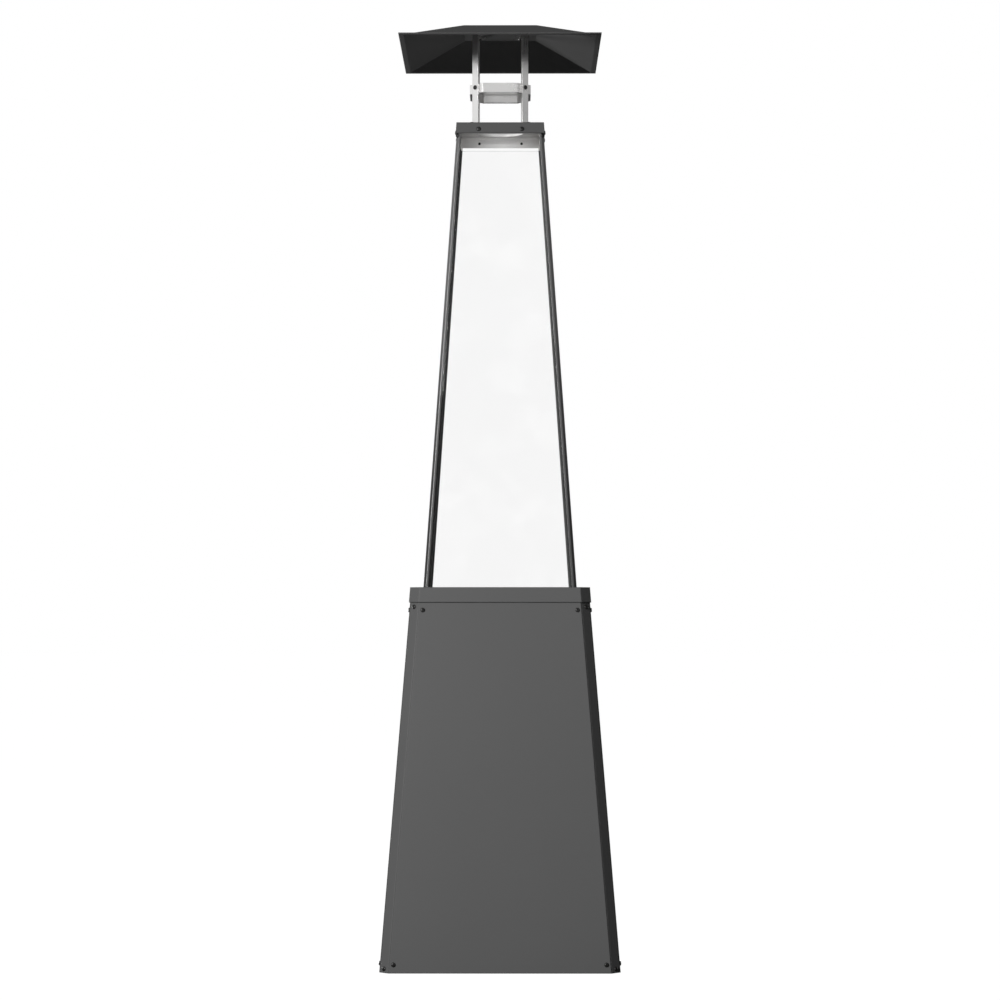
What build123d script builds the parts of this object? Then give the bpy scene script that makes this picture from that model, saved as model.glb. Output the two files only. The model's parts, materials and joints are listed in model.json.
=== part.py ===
"""Free-standing pyramid gas heater: tapered cabinet, glazed tower, cap, bars, ring band and hood.

Units are millimetres. The origin is on the ground under the middle of the cabinet, +Z is up, the plain
face looks along -Y and the service side, with its door and controls, along +Y.
"""

import os
from math import atan, cos, pi, sin, sqrt, tan

from build123d import *

os.makedirs("parts", exist_ok=True)

# Cabinet: panels and folded corner posts
cabinet_height = 874.0
cabinet_foot_width = 564.4
cabinet_top_width = 426.0
chamfer_leg = 22.0
panel_sheet = 1.5
post_sheet = 2.0
post_lip = 25.0
door_side_lip = 46.0
floor_gap = 2.0

# Base tray, rubber pads, anchor holes and bottle hoop
pad_height = 6.0
pad_radius = 24.0
pad_inset = 82.2
tray_sheet = 2.0
tray_flange = 38.0
anchor_inset = 112.2
anchor_radius = 4.5
air_slot_length = 90.0
air_slot_width = 9.0
air_slot_reach = 81.0
hoop_radius = 162.0
hoop_height = 26.0
hoop_sheet = 2.5
hoop_mouth = 230.0

# Rear wall: sill, door and control panel, with their air louvres
sill_top = 58.0
door_slit = 3.0
door_margin = 22.0
door_return = 12.0
control_panel_height = 181.0
louvre_length = 120.0
louvre_width = 8.0
louvre_pitch = 20.0
louvre_rows = 4
louvre_inset = 60.0
panel_louvre_rise = 20.0
panel_louvre_spacing = 180.0

# Hinges and latch
hinge_inset = 92.0
hinge_length = 60.0
knuckle_radius = 4.0
knuckle_gap = 0.5
pin_radius = 2.0
running_clearance = 0.05
hinge_rise = 4.3
hinge_edge_gap = 1.0
leaf_width = 18.0
leaf_sheet = 1.5
latch_drop = 290.0
latch_setback = 42.0
latch_shaft_radius = 5.0
latch_bush_wall = 4.0
latch_flange = 4.0
latch_flange_sheet = 2.0
latch_knob_radius = 17.0
latch_knob_disc = 5.0
latch_knob_height = 14.0
latch_grip_length = 30.0
latch_grip_width = 8.5
latch_knob_gap = 2.0
latch_cam_reach = 32.0
latch_cam_width = 20.0
latch_cam_sheet = 3.0
latch_cam_gap = 0.6

# Collar and burner deck
collar_overlap = 8.0
collar_height = 36.0
collar_sheet = 2.0
collar_gap = 0.8
rim_clearance = 0.4
deck_drop = 12.0
deck_sheet = 2.0
deck_flange = 26.0

# Tower: posts, seat, panes and corner strips
tower_height = 1100.5
tower_foot_width = 364.8
tower_top_width = 211.1
tower_leg = 6.0
tower_lip = 5.0
tower_sheet = 1.5
pane_sheet = 5.0
pane_gap = 0.5
pane_drop = 8.5
seat_sheet = 1.5
seat_height = 12.0
strip_leg = 5.0
strip_sheet = 1.0

# Cap and the frame inside it
cap_height = 26.5
cap_sheet = 2.0
cap_overhang = 2.4
outlet_radius = 60.0
outlet_rim = 5.0
liner_sheet = 1.5
liner_reach = 1.0
boss_radius = 4.0

# Bars, ring band and hood
bar_height = 239.5
bar_width = 20.0
bar_sheet = 4.0
bar_radius = 86.6
bar_foot = 22.0
band_width = 148.8
band_rise = 79.5
band_height = 23.0
band_sheet = 2.0
hood_width = 483.6
hood_top_width = 177.0
hood_drop = 53.3
hood_sheet = 1.5
brim_width = 7.9
brim_hem = 2.9
brim_hem_sheet = 1.6

# Burner, pilot and sensors
dish_radius = 100.0
dish_depth = 38.0
dish_flange = 14.0
dish_sheet = 1.5
dish_clearance = 0.5
line_hole_radius = 4.8
burner_radius = 48.0
burner_drop = 20.0
burner_height = 44.0
burner_cone = 11.0
burner_shoulder = 33.0
burner_wall = 3.0
port_count = 12
port_rise = 22.0
port_width = 3.0
port_tall = 9.0
venturi_radius = 14.0
venturi_wall = 1.5
venturi_drop = 144.0
venturi_slot_width = 8.0
venturi_slot_height = 22.0
injector_height = 22.0
injector_width = 22.0
injector_plug = 5.5
injector_port = 5.5
jet_radius = 5.0
pilot_x, pilot_y = -62.0, 20.0
sensor_x, sensor_y = -46.0, 26.0
spark_x, spark_y = -74.0, 34.0
pilot_plate_drop = 16.0
pilot_plate_sheet = 1.5
pilot_plate_margin = 7.5
pilot_radius = 5.0
pilot_bore = 2.5
pilot_height = 20.0
sensor_radius = 2.4
sensor_tail = 7.2
spark_radius = 3.0
spark_wire_radius = 1.0
spark_wire_length = 10.0
burner_pipe_radius = 4.0
burner_pipe_bend = 20.0
pilot_pipe_radius = 2.0
pilot_pipe_bend = 16.0
lead_radius = 1.5
lead_bend = 12.0
line_spread = 8.8
tilt_radius = 15.0
tilt_height = 22.0
tilt_offset = 140.0

# Gas controls
control_drop = 84.0
control_spacing = 110.0
valve_width = 50.0
valve_tall = 44.0
valve_deep = 54.0
valve_setback = 12.0
valve_corner = 2.0
neck_radius = 9.0
neck_proud = 4.0
spindle_radius = 4.0
spindle_proud = 22.0
spindle_reach = 33.0
spindle_travel = 5.0
spindle_end_gap = 2.0
knob_radius = 24.0
knob_lift = 8.0
knob_disc = 7.0
knob_height = 22.0
knob_grip_length = 44.0
knob_grip_width = 12.0
knob_recess = 6.0
knob_recess_gap = 1.5
knob_bore_gap = 1.0
dial_width = 190.0
dial_height = 66.0
dial_corner = 9.0
dial_sheet = 1.5
piezo_radius = 10.5
piezo_depth = 58.0
piezo_collar_radius = 14.0
piezo_collar = 4.5
lead_drop_depth = 29.0
button_radius = 7.95
button_round = 1.5
button_proud = 8.5
button_depth = 14.0
button_travel = 6.0
button_end_gap = 1.0
inlet_length = 30.0
inlet_radius = 6.6
inlet_thread = 12.0
inlet_bore = 3.3
inlet_bore_depth = 15.0
inlet_nut_width = 19.0

# Screws, all alike
screw_head_radius = 5.5
screw_head_height = 3.2
screw_radius = 2.0
screw_sides = 6
pipe_sides = 8
screw_inset = 10.0
panel_screw_rise = 22.0
panel_screw_drop = 26.0
nose_screw_rise = 11.5
nose_screw_drop = 18.5
cap_screw_spacing = 105.0
cap_screw_rise = 10.0
nose_cap_screw_drop = 5.6
band_screw_rise = 14.2

# Levels that follow from the sizes
tray_low = pad_height
tray_top = tray_low + tray_flange
control_low = cabinet_height - control_panel_height
control_height = cabinet_height - control_drop
door_low = sill_top + door_slit
door_high = control_low - door_slit
latch_height = door_high - latch_drop
hinge_heights = (door_low + hinge_inset, door_high - hinge_inset)
panel_screws = (panel_screw_rise, cabinet_height - panel_screw_drop)
nose_screws = (nose_screw_rise, cabinet_height - nose_screw_drop)
deck_top = cabinet_height - deck_drop
deck_low = deck_top - deck_flange
collar_low = cabinet_height - collar_overlap
collar_top = collar_low + collar_height
tower_top = collar_top + tower_height
pane_top = tower_top - pane_drop
cap_top = tower_top + cap_height
cap_screw_height = tower_top + cap_screw_rise
nose_cap_screw_height = tower_top - nose_cap_screw_drop
hood_underside = cap_top + bar_height
hood_top = hood_underside + hood_sheet
brim_low = hood_top - hood_drop
band_low = cap_top + band_rise
band_screw_height = band_low + band_screw_rise
dish_low = deck_top - dish_depth
burner_low = deck_top - burner_drop
burner_top = burner_low + burner_height
venturi_low = deck_top - venturi_drop
injector_low = venturi_low - injector_height
port_height = injector_low + injector_height / 2
pilot_plate_height = deck_top - pilot_plate_drop
pilot_floor = pilot_plate_height + pilot_plate_sheet

diagonal = sqrt(2)
cabinet_slope = (cabinet_foot_width - cabinet_top_width) / 2 / cabinet_height
tower_slope = (tower_foot_width - tower_top_width) / 2 / tower_height
cabinet_lean = cos(atan(cabinet_slope))
tower_lean = cos(atan(tower_slope))
lip_inset = panel_sheet / cabinet_lean
frame_inset = lip_inset + post_sheet
pane_inner = tower_sheet + pane_sheet
TURNS = (0, 90, 180, 270)
SIDES = ("front_right", "rear_right", "rear_left", "front_left")


def save(piece, name):
    """Label a finished piece and write it as its own file."""
    piece.part.label = name
    export_step(piece.part, f"parts/{name}.step")


def cabinet_half(z):
    """Half the cabinet's outer width at a height."""
    return cabinet_foot_width / 2 - cabinet_slope * z


def tower_half(z):
    """Half the tower's outer width at a height."""
    return tower_foot_width / 2 - tower_slope * (z - collar_top)


def around(corners, z):
    """Corners of a level outline, turned round the four sides from the front right one's share."""
    return [Vector(x, y, z).rotate(Axis.Z, turn) for turn in TURNS for x, y in corners]


def octagon(half, leg, z):
    """Corners of a level square with equal chamfers."""
    return around([(half - leg, -half), (half, leg - half)], z)


def cabinet_ring(z, side_inset, nose_inset):
    """Cabinet outline at a height, moved in from its sides and from its chamfered noses."""
    half = cabinet_half(z) - side_inset
    nose = 2 * cabinet_half(z) - chamfer_leg - diagonal * nose_inset
    return octagon(half, 2 * half - nose, z)


def tower_ring(z, side_inset, nose_inset):
    """Tower outline at a height, moved in from its sides and from its chamfered noses."""
    half = tower_half(z) - side_inset
    nose = 2 * tower_half(z) - tower_leg - diagonal * nose_inset
    return octagon(half, 2 * half - nose, z)


def square(z, half):
    """Corners of a level square."""
    return around([(half, -half)], z)


def block(low, high, mode=Mode.ADD):
    """Add, or cut, the solid between two outlines, corner to corner with flat walls."""
    walls = [
        Face(Wire.make_polygon([low[i - 1], low[i], high[i], high[i - 1]])) for i in range(len(low))
    ]
    ends = [Face(Wire.make_polygon(low)), Face(Wire.make_polygon(high))]
    add(Solid(Shell(walls + ends)), mode=mode)


def taper_between(ring, low, high, side_inset, nose_inset, mode=Mode.ADD):
    """Fill, or cut, the tapered block between two heights of an outline."""
    block(ring(low, side_inset, nose_inset), ring(high, side_inset, nose_inset), mode)


def wall_plane(half, slope, turn):
    """Plane on a leaning wall from its foot at ground level: x level, y up the slope, z outwards."""
    lean = atan(slope)
    return Plane(
        origin=Vector(0, -half, 0).rotate(Axis.Z, turn),
        x_dir=Vector(1, 0, 0).rotate(Axis.Z, turn),
        z_dir=Vector(0, -cos(lean), sin(lean)).rotate(Axis.Z, turn),
    )


def up_slope(z, slope):
    """Distance up a leaning wall at which it reaches a height."""
    return z / cos(atan(slope))


def cabinet_wall(turn):
    """Outer plane of one cabinet side."""
    return wall_plane(cabinet_half(0), cabinet_slope, turn)


def cabinet_nose(turn):
    """Outer plane of the chamfered nose to the right of one cabinet side."""
    return wall_plane((2 * cabinet_half(0) - chamfer_leg) / diagonal, diagonal * cabinet_slope, turn + 45)


def tower_wall(turn):
    """Outer plane of one tower side."""
    return wall_plane(tower_half(0), tower_slope, turn)


def tower_nose(turn):
    """Outer plane of the chamfered nose to the right of one tower side."""
    return wall_plane((2 * tower_half(0) - tower_leg) / diagonal, diagonal * tower_slope, turn + 45)


def bar_wall(turn):
    """Upright plane on the outer face of the hood bar to the right of one side."""
    return wall_plane(bar_radius, 0, turn + 45)


def wall_rise(z):
    """Distance up a cabinet side at which it reaches a height."""
    return up_slope(z, cabinet_slope)


def crease(z):
    """Half the flat width of a cabinet side at a height, up to its chamfers."""
    return cabinet_half(z) - chamfer_leg


def trapezoid(low, high, margin):
    """Outline of a plate on a cabinet side between two heights, inside its creases by a margin."""
    foot, head = crease(low) - margin, crease(high) - margin
    return [(-foot, wall_rise(low)), (foot, wall_rise(low)), (head, wall_rise(high)), (-head, wall_rise(high))]


def wall_spots(heights):
    """Screw places near both edges of a cabinet side, at each height."""
    return [(side * (crease(z) - screw_inset), wall_rise(z)) for z in heights for side in (-1, 1)]


def nose_spots():
    """Screw places on a cabinet nose."""
    return [(0, up_slope(z, diagonal * cabinet_slope)) for z in nose_screws]


def cap_spots():
    """Screw places on one side of the cap."""
    rise = up_slope(cap_screw_height, tower_slope)
    return [(-cap_screw_spacing / 2, rise), (cap_screw_spacing / 2, rise)]


def nose_cap_spots():
    """Screw place on a tower nose, under the cap."""
    return [(0, up_slope(nose_cap_screw_height, diagonal * tower_slope))]


def drill(plane, spots, radius, near, far):
    """Cut round holes square to a plane, between two distances from it."""
    with BuildSketch(plane.offset(near)) as holes:
        with Locations(*spots):
            Circle(radius)
    extrude(holes.sketch, amount=far - near, mode=Mode.SUBTRACT)


def rod(plane, spots, radius, near, far):
    """Add round rods square to a plane, between two distances from it."""
    with BuildSketch(plane.offset(near)) as ends:
        with Locations(*spots):
            Circle(radius)
    extrude(ends.sketch, amount=far - near)


def slab(plane, spot, length, width, near, far):
    """Add an upright round-ended slab square to a plane, between two distances from it."""
    with BuildSketch(plane.offset(near)) as base:
        with Locations(spot):
            SlotOverall(length, width, rotation=90)
    extrude(base.sketch, amount=far - near)


def screw_outline(spots, radius):
    """Many-sided outlines of screws at their places, in the sketch that is open."""
    with Locations(*spots):
        RegularPolygon(radius, screw_sides)


def screw_holes(plane, spots, near, far):
    """Cut holes that take the screws' shanks."""
    with BuildSketch(plane.offset(near)) as holes:
        screw_outline(spots, screw_radius)
    extrude(holes.sketch, amount=far - near, mode=Mode.SUBTRACT)


def add_screws(plane, spots, face, length):
    """Add pan-head screws whose heads sit on a face at a distance from a plane."""
    with BuildSketch(plane.offset(face)) as heads:
        screw_outline(spots, screw_head_radius)
    extrude(heads.sketch, amount=screw_head_height)
    with BuildSketch(plane.offset(face)) as shanks:
        screw_outline(spots, screw_radius)
    extrude(shanks.sketch, amount=-length)


def fold_corners(half, leg, lip_a, lip_b, sheet, z):
    """Section of a folded corner post with a chamfered nose, for the front right corner."""
    inner = sheet * tan(pi / 8)
    return [
        Vector(half - leg - lip_a, -half, z),
        Vector(half - leg, -half, z),
        Vector(half, leg - half, z),
        Vector(half, leg + lip_b - half, z),
        Vector(half - sheet, leg + lip_b - half, z),
        Vector(half - sheet, leg + inner - half, z),
        Vector(half - leg - inner, sheet - half, z),
        Vector(half - leg - lip_a, sheet - half, z),
    ]


def pipe(points, bend, radius, sides):
    """Pipe along straight runs joined by arcs, drawn with a number of sides."""
    with BuildLine() as route:
        FilletPolyline(*points, radius=bend)
    with BuildSketch(Plane(origin=points[0], z_dir=points[1] - points[0])) as section:
        RegularPolygon(radius, sides)
    sweep(section.sketch, path=route.wires()[0])


walls = [cabinet_wall(turn) for turn in TURNS]
rear_wall = cabinet_wall(180)
inward = rear_wall.z_dir * -1

# Base tray: a folded pan inside the posts, with air slots and floor anchor holes
anchor_spacing = cabinet_foot_width - 2 * anchor_inset
with BuildPart() as base_tray:
    taper_between(cabinet_ring, tray_low, tray_top, frame_inset, post_sheet)
    taper_between(
        cabinet_ring,
        tray_low + tray_sheet,
        tray_top + tray_sheet,
        frame_inset + tray_sheet,
        post_sheet + tray_sheet,
        Mode.SUBTRACT,
    )
    with BuildSketch(Plane.XY.offset(tray_low)):
        with PolarLocations(air_slot_reach, 4):
            SlotOverall(air_slot_length, air_slot_width, rotation=90)
        with GridLocations(anchor_spacing, anchor_spacing, 2, 2):
            Circle(anchor_radius)
    extrude(amount=tray_sheet, mode=Mode.SUBTRACT)
    for turn, wall in zip(TURNS, walls):
        screw_holes(wall, wall_spots(panel_screws), 0, -frame_inset - 2 * tray_sheet)
        screw_holes(cabinet_nose(turn), nose_spots(), 0, -2 * frame_inset)
save(base_tray, "base_tray")

# Rubber pads under the tray
pad_spacing = cabinet_foot_width - 2 * pad_inset
with BuildPart() as foot_pads:
    with BuildSketch():
        with GridLocations(pad_spacing, pad_spacing, 2, 2):
            Circle(pad_radius)
    extrude(amount=pad_height)
save(foot_pads, "foot_pads")

# Hoop that keeps the gas bottle in place, open towards the door
hoop_cut = hoop_radius - sqrt(hoop_radius**2 - (hoop_mouth / 2) ** 2)
with BuildPart() as bottle_hoop:
    with BuildSketch(Plane.XY.offset(tray_low + tray_sheet)):
        Circle(hoop_radius)
        Circle(hoop_radius - hoop_sheet, mode=Mode.SUBTRACT)
        with Locations((0, hoop_radius)):
            Rectangle(2 * hoop_radius, 2 * hoop_cut, mode=Mode.SUBTRACT)
    extrude(amount=hoop_height)
save(bottle_hoop, "bottle_hoop")

# Cabinet posts: folded sheet with a chamfered nose; the lips beside the door are wide
for turn, side in zip(TURNS, SIDES):
    lip_a = door_side_lip if turn == 180 else post_lip
    lip_b = door_side_lip if turn == 90 else post_lip
    with BuildPart() as cabinet_post:
        ends = []
        for z in (floor_gap, cabinet_height):
            half = cabinet_half(z) - lip_inset
            leg = chamfer_leg - 2 * lip_inset
            section = fold_corners(half, leg, lip_a, lip_b, post_sheet, z)
            ends.append([corner.rotate(Axis.Z, turn) for corner in section])
        block(*ends)
        for wall in (cabinet_wall(turn), cabinet_wall(turn + 90)):
            screw_holes(wall, wall_spots(panel_screws), 0, -frame_inset - post_sheet / 2)
        screw_holes(cabinet_nose(turn), nose_spots(), post_sheet, -2 * post_sheet)
    save(cabinet_post, f"cabinet_post_{side}")

# Fixed panels: one plain tapered plate on each of three sides
for turn, name in ((0, "front_panel"), (90, "right_panel"), (270, "left_panel")):
    with BuildPart() as panel:
        with BuildSketch(cabinet_wall(turn)):
            Polygon(*trapezoid(floor_gap, cabinet_height, 0))
        extrude(amount=-panel_sheet)
        screw_holes(cabinet_wall(turn), wall_spots(panel_screws), 0, -panel_sheet)
    save(panel, name)

# Sill under the door
with BuildPart() as rear_sill:
    with BuildSketch(rear_wall):
        Polygon(*trapezoid(floor_gap, sill_top, 0))
    extrude(amount=-panel_sheet)
    screw_holes(rear_wall, wall_spots(panel_screws[:1]), 0, -panel_sheet)
save(rear_sill, "rear_sill")

# Control panel above the door, with air louvres under the controls
control_rise = wall_rise(control_height)
knob_spot = (control_spacing / 2, control_rise)
button_spot = (-control_spacing / 2, control_rise)
with BuildPart() as control_panel:
    with BuildSketch(rear_wall):
        Polygon(*trapezoid(control_low, cabinet_height, 0))
        with Locations(knob_spot):
            Circle(neck_radius, mode=Mode.SUBTRACT)
        with Locations(button_spot):
            Circle(piezo_radius, mode=Mode.SUBTRACT)
        with Locations((0, wall_rise(control_low + panel_louvre_rise))):
            with GridLocations(panel_louvre_spacing, 0, 2, 1):
                SlotOverall(louvre_length, louvre_width, mode=Mode.SUBTRACT)
    extrude(amount=-panel_sheet)
    screw_holes(rear_wall, wall_spots(panel_screws[1:]), 0, -panel_sheet)
save(control_panel, "control_panel")

# Door: a plate with stiffening returns at its top and bottom, and two blocks of air louvres
latch_rise = wall_rise(latch_height)
latch_u = -(crease(latch_height) - door_margin - latch_setback)
latch_spot = (latch_u, latch_rise)
bush_radius = latch_shaft_radius + latch_bush_wall
louvre_block = louvre_inset + (louvre_rows - 1) * louvre_pitch / 2
return_length = 2 * (crease(door_high) - door_side_lip - latch_flange)
with BuildPart() as service_door:
    with BuildSketch(rear_wall):
        Polygon(*trapezoid(door_low, door_high, door_margin))
        with Locations(latch_spot):
            Circle(bush_radius, mode=Mode.SUBTRACT)
        for z in (door_low + louvre_block, door_high - louvre_block):
            with Locations((0, wall_rise(z))):
                with GridLocations(0, louvre_pitch, 1, louvre_rows):
                    SlotOverall(louvre_length, louvre_width, mode=Mode.SUBTRACT)
    extrude(amount=-panel_sheet)
    with BuildSketch(rear_wall.offset(-panel_sheet)):
        with Locations((0, wall_rise(door_low) + panel_sheet / 2), (0, wall_rise(door_high) - panel_sheet / 2)):
            Rectangle(return_length, panel_sheet)
    extrude(amount=-door_return)
save(service_door, "service_door")

# Butt hinges on a slanting pin line beside the door's edge
pin_margin = door_margin - hinge_edge_gap


def pin_point(z):
    """Point on the hinge pin line where it passes a height on the door's edge."""
    return rear_wall.from_local_coords(Vector(crease(z) - pin_margin, wall_rise(z), hinge_rise))


pin_direction = (pin_point(door_high) - pin_point(door_low)).normalized()
across_door = pin_direction.cross(rear_wall.z_dir * -1).normalized()
hinge_planes = [Plane(origin=pin_point(z), x_dir=across_door, z_dir=pin_direction) for z in hinge_heights]
knuckle_length = hinge_length / 3
leaf_floor = -hinge_rise - panel_sheet


def knuckle(plane, low, high, block_side, block_floor, bore):
    """Add one hinge knuckle with its tangent block, bored for the pin."""
    with BuildSketch(plane.offset(low)) as section:
        Circle(knuckle_radius)
        with Locations((block_side * knuckle_radius / 2, block_floor / 2)):
            Rectangle(knuckle_radius, -block_floor)
        Circle(bore, mode=Mode.SUBTRACT)
    extrude(section.sketch, amount=high - low)


def leaf(plane, low, high, near, far, floor):
    """Add a flat stretch of hinge leaf."""
    with BuildSketch(plane.offset(low)) as section:
        with Locations(((near + far) / 2, floor + leaf_sheet / 2)):
            Rectangle(abs(far - near), leaf_sheet)
    extrude(section.sketch, amount=high - low)


with BuildPart() as hinge_frame_leaves:
    for plane in hinge_planes:
        leaf(plane, -hinge_length / 2, hinge_length / 2, -leaf_width, -knuckle_radius - knuckle_gap, leaf_floor)
        for end in (-1, 1):
            outer = end * hinge_length / 2
            inner = end * (knuckle_length + knuckle_gap) / 2
            low, high = min(outer, inner), max(outer, inner)
            leaf(plane, low, high, -leaf_width, 0, leaf_floor)
            knuckle(plane, low, high, -1, leaf_floor, pin_radius)
save(hinge_frame_leaves, "hinge_frame_leaves")

with BuildPart() as hinge_door_leaves:
    for plane in hinge_planes:
        leaf(plane, -hinge_length / 2, hinge_length / 2, knuckle_radius + knuckle_gap, leaf_width, -hinge_rise)
        middle = (knuckle_length - knuckle_gap) / 2
        leaf(plane, -middle, middle, 0, leaf_width, -hinge_rise)
        knuckle(plane, -middle, middle, 1, -hinge_rise, pin_radius + running_clearance)
save(hinge_door_leaves, "hinge_door_leaves")

with BuildPart() as hinge_pins:
    for plane in hinge_planes:
        rod(plane, [(0, 0)], pin_radius, -hinge_length / 2, hinge_length / 2)
save(hinge_pins, "hinge_pins")

# Quarter-turn latch: bush in the door, knob with its shaft, and a cam that swings behind the post's lip
cam_near = -panel_sheet - post_sheet - latch_cam_gap
bush_end = cam_near + latch_cam_gap / 2
knob_near = latch_flange_sheet + latch_knob_gap
with BuildPart() as latch_bush:
    rod(rear_wall, [latch_spot], bush_radius + latch_flange, 0, latch_flange_sheet)
    rod(rear_wall, [latch_spot], bush_radius, 0, -panel_sheet)
    rod(rear_wall, [latch_spot], bush_radius + latch_flange, -panel_sheet, bush_end)
    drill(rear_wall, [latch_spot], latch_shaft_radius + running_clearance, latch_flange_sheet, bush_end)
save(latch_bush, "latch_bush")

with BuildPart() as latch_knob:
    rod(rear_wall, [latch_spot], latch_shaft_radius, cam_near - latch_cam_sheet, knob_near)
    rod(rear_wall, [latch_spot], latch_knob_radius, knob_near, knob_near + latch_knob_disc)
    slab(
        rear_wall,
        latch_spot,
        latch_grip_length,
        latch_grip_width,
        knob_near + latch_knob_disc,
        knob_near + latch_knob_height,
    )
save(latch_knob, "latch_knob")

with BuildPart() as latch_cam:
    cam_middle = (latch_u, latch_rise + latch_cam_reach / 2)
    slab(
        rear_wall,
        cam_middle,
        latch_cam_reach + latch_cam_width,
        latch_cam_width,
        cam_near - latch_cam_sheet,
        cam_near,
    )
    drill(rear_wall, [latch_spot], latch_shaft_radius, cam_near, cam_near - latch_cam_sheet)
save(latch_cam, "latch_cam")

# Burner deck: an inverted pan across the top of the cabinet
with BuildPart() as burner_deck:
    taper_between(cabinet_ring, deck_low, deck_top, frame_inset, post_sheet)
    taper_between(
        cabinet_ring,
        deck_low - deck_sheet,
        deck_top - deck_sheet,
        frame_inset + deck_sheet,
        post_sheet + deck_sheet,
        Mode.SUBTRACT,
    )
    drill(Plane.XY, [(0, 0)], dish_radius + dish_clearance, deck_top, deck_top - deck_sheet)
    for turn, wall in zip(TURNS, walls):
        screw_holes(wall, wall_spots(panel_screws), 0, -frame_inset - 2 * deck_sheet)
        screw_holes(cabinet_nose(turn), nose_spots(), 0, -2 * frame_inset)
save(burner_deck, "burner_deck")

# Collar: band over the panel tops, flat top, and an inner rim that stands on the deck round the tower
rim_inner = -rim_clearance
rim_outer = -rim_clearance - collar_sheet
collar_outer = -collar_gap - collar_sheet
with BuildPart() as collar:
    taper_between(cabinet_ring, collar_low, collar_top, collar_outer, collar_outer)
    taper_between(
        cabinet_ring,
        collar_low - collar_sheet,
        collar_top - collar_sheet,
        -collar_gap,
        -collar_gap,
        Mode.SUBTRACT,
    )
    taper_between(tower_ring, deck_top, collar_top, rim_outer, rim_outer)
    taper_between(
        tower_ring,
        deck_top - collar_sheet,
        collar_top + collar_sheet,
        rim_inner,
        rim_inner,
        Mode.SUBTRACT,
    )
save(collar, "collar")

# Burner dish hung in the deck, with holes for the riser and the pilot's lines
line_spots = ((pilot_x, pilot_y), (sensor_x, sensor_y), (spark_x, spark_y))
with BuildPart() as burner_dish:
    rod(Plane.XY, [(0, 0)], dish_radius + dish_flange, deck_top, deck_top + dish_sheet)
    rod(Plane.XY, [(0, 0)], dish_radius, deck_top, dish_low)
    drill(Plane.XY, [(0, 0)], dish_radius - dish_sheet, deck_top + dish_sheet, dish_low + dish_sheet)
    drill(Plane.XY, [(0, 0)], venturi_radius, dish_low + dish_sheet, dish_low)
    drill(Plane.XY, line_spots, line_hole_radius, dish_low + dish_sheet, dish_low)
save(burner_dish, "burner_dish")

# Burner head: a hollow drum with a ring of ports, on the venturi riser
with BuildPart() as burner_head:
    with BuildSketch(Plane.XZ):
        with BuildLine():
            inner = burner_radius - burner_wall
            Polyline(
                (venturi_radius, burner_low),
                (burner_radius, burner_low + burner_cone),
                (burner_radius, burner_low + burner_shoulder),
                (0, burner_top),
                (0, burner_top - burner_wall),
                (inner, burner_low + burner_shoulder - burner_wall),
                (inner, burner_low + burner_cone + burner_wall),
                (venturi_radius, burner_low + burner_wall),
                close=True,
            )
        make_face()
    revolve(axis=Axis.Z)
    for turn in range(port_count):
        port_wall = wall_plane(burner_radius, 0, 360 * turn / port_count)
        with BuildSketch(port_wall):
            with Locations((0, burner_low + port_rise)):
                Rectangle(port_width, port_tall)
        extrude(amount=-2 * burner_wall, mode=Mode.SUBTRACT)
save(burner_head, "burner_head")

# Venturi riser with air slots near its foot
with BuildPart() as venturi_tube:
    with BuildSketch(Plane.XY.offset(venturi_low)):
        Circle(venturi_radius)
        Circle(venturi_radius - venturi_wall, mode=Mode.SUBTRACT)
    extrude(amount=burner_low + burner_wall - venturi_low)
    for turn in (45, 135):
        slot_wall = wall_plane(2 * venturi_radius, 0, turn)
        with BuildSketch(slot_wall):
            with Locations((0, venturi_low + venturi_slot_height)):
                Rectangle(venturi_slot_width, venturi_slot_height)
        extrude(amount=-4 * venturi_radius, mode=Mode.SUBTRACT)
save(venturi_tube, "venturi_tube")

# Brass injector block at the riser's foot, with its side port for the burner pipe
with BuildPart() as gas_injector:
    with BuildSketch(Plane.XY.offset(injector_low)):
        RegularPolygon(injector_width / 2, 6, major_radius=False)
    extrude(amount=injector_height)
    rod(Plane.XY, [(0, 0)], venturi_radius - venturi_wall, venturi_low, venturi_low + injector_plug)
    rod(Plane.XY, [(0, 0)], jet_radius, venturi_low + injector_plug, venturi_low + 2 * injector_plug)
    port_plane = Plane(origin=(0, injector_width / 2, port_height), x_dir=(1, 0, 0), z_dir=(0, -1, 0))
    with BuildSketch(port_plane):
        RegularPolygon(burner_pipe_radius, pipe_sides)
    extrude(amount=injector_port, mode=Mode.SUBTRACT)
save(gas_injector, "gas_injector")

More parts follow.
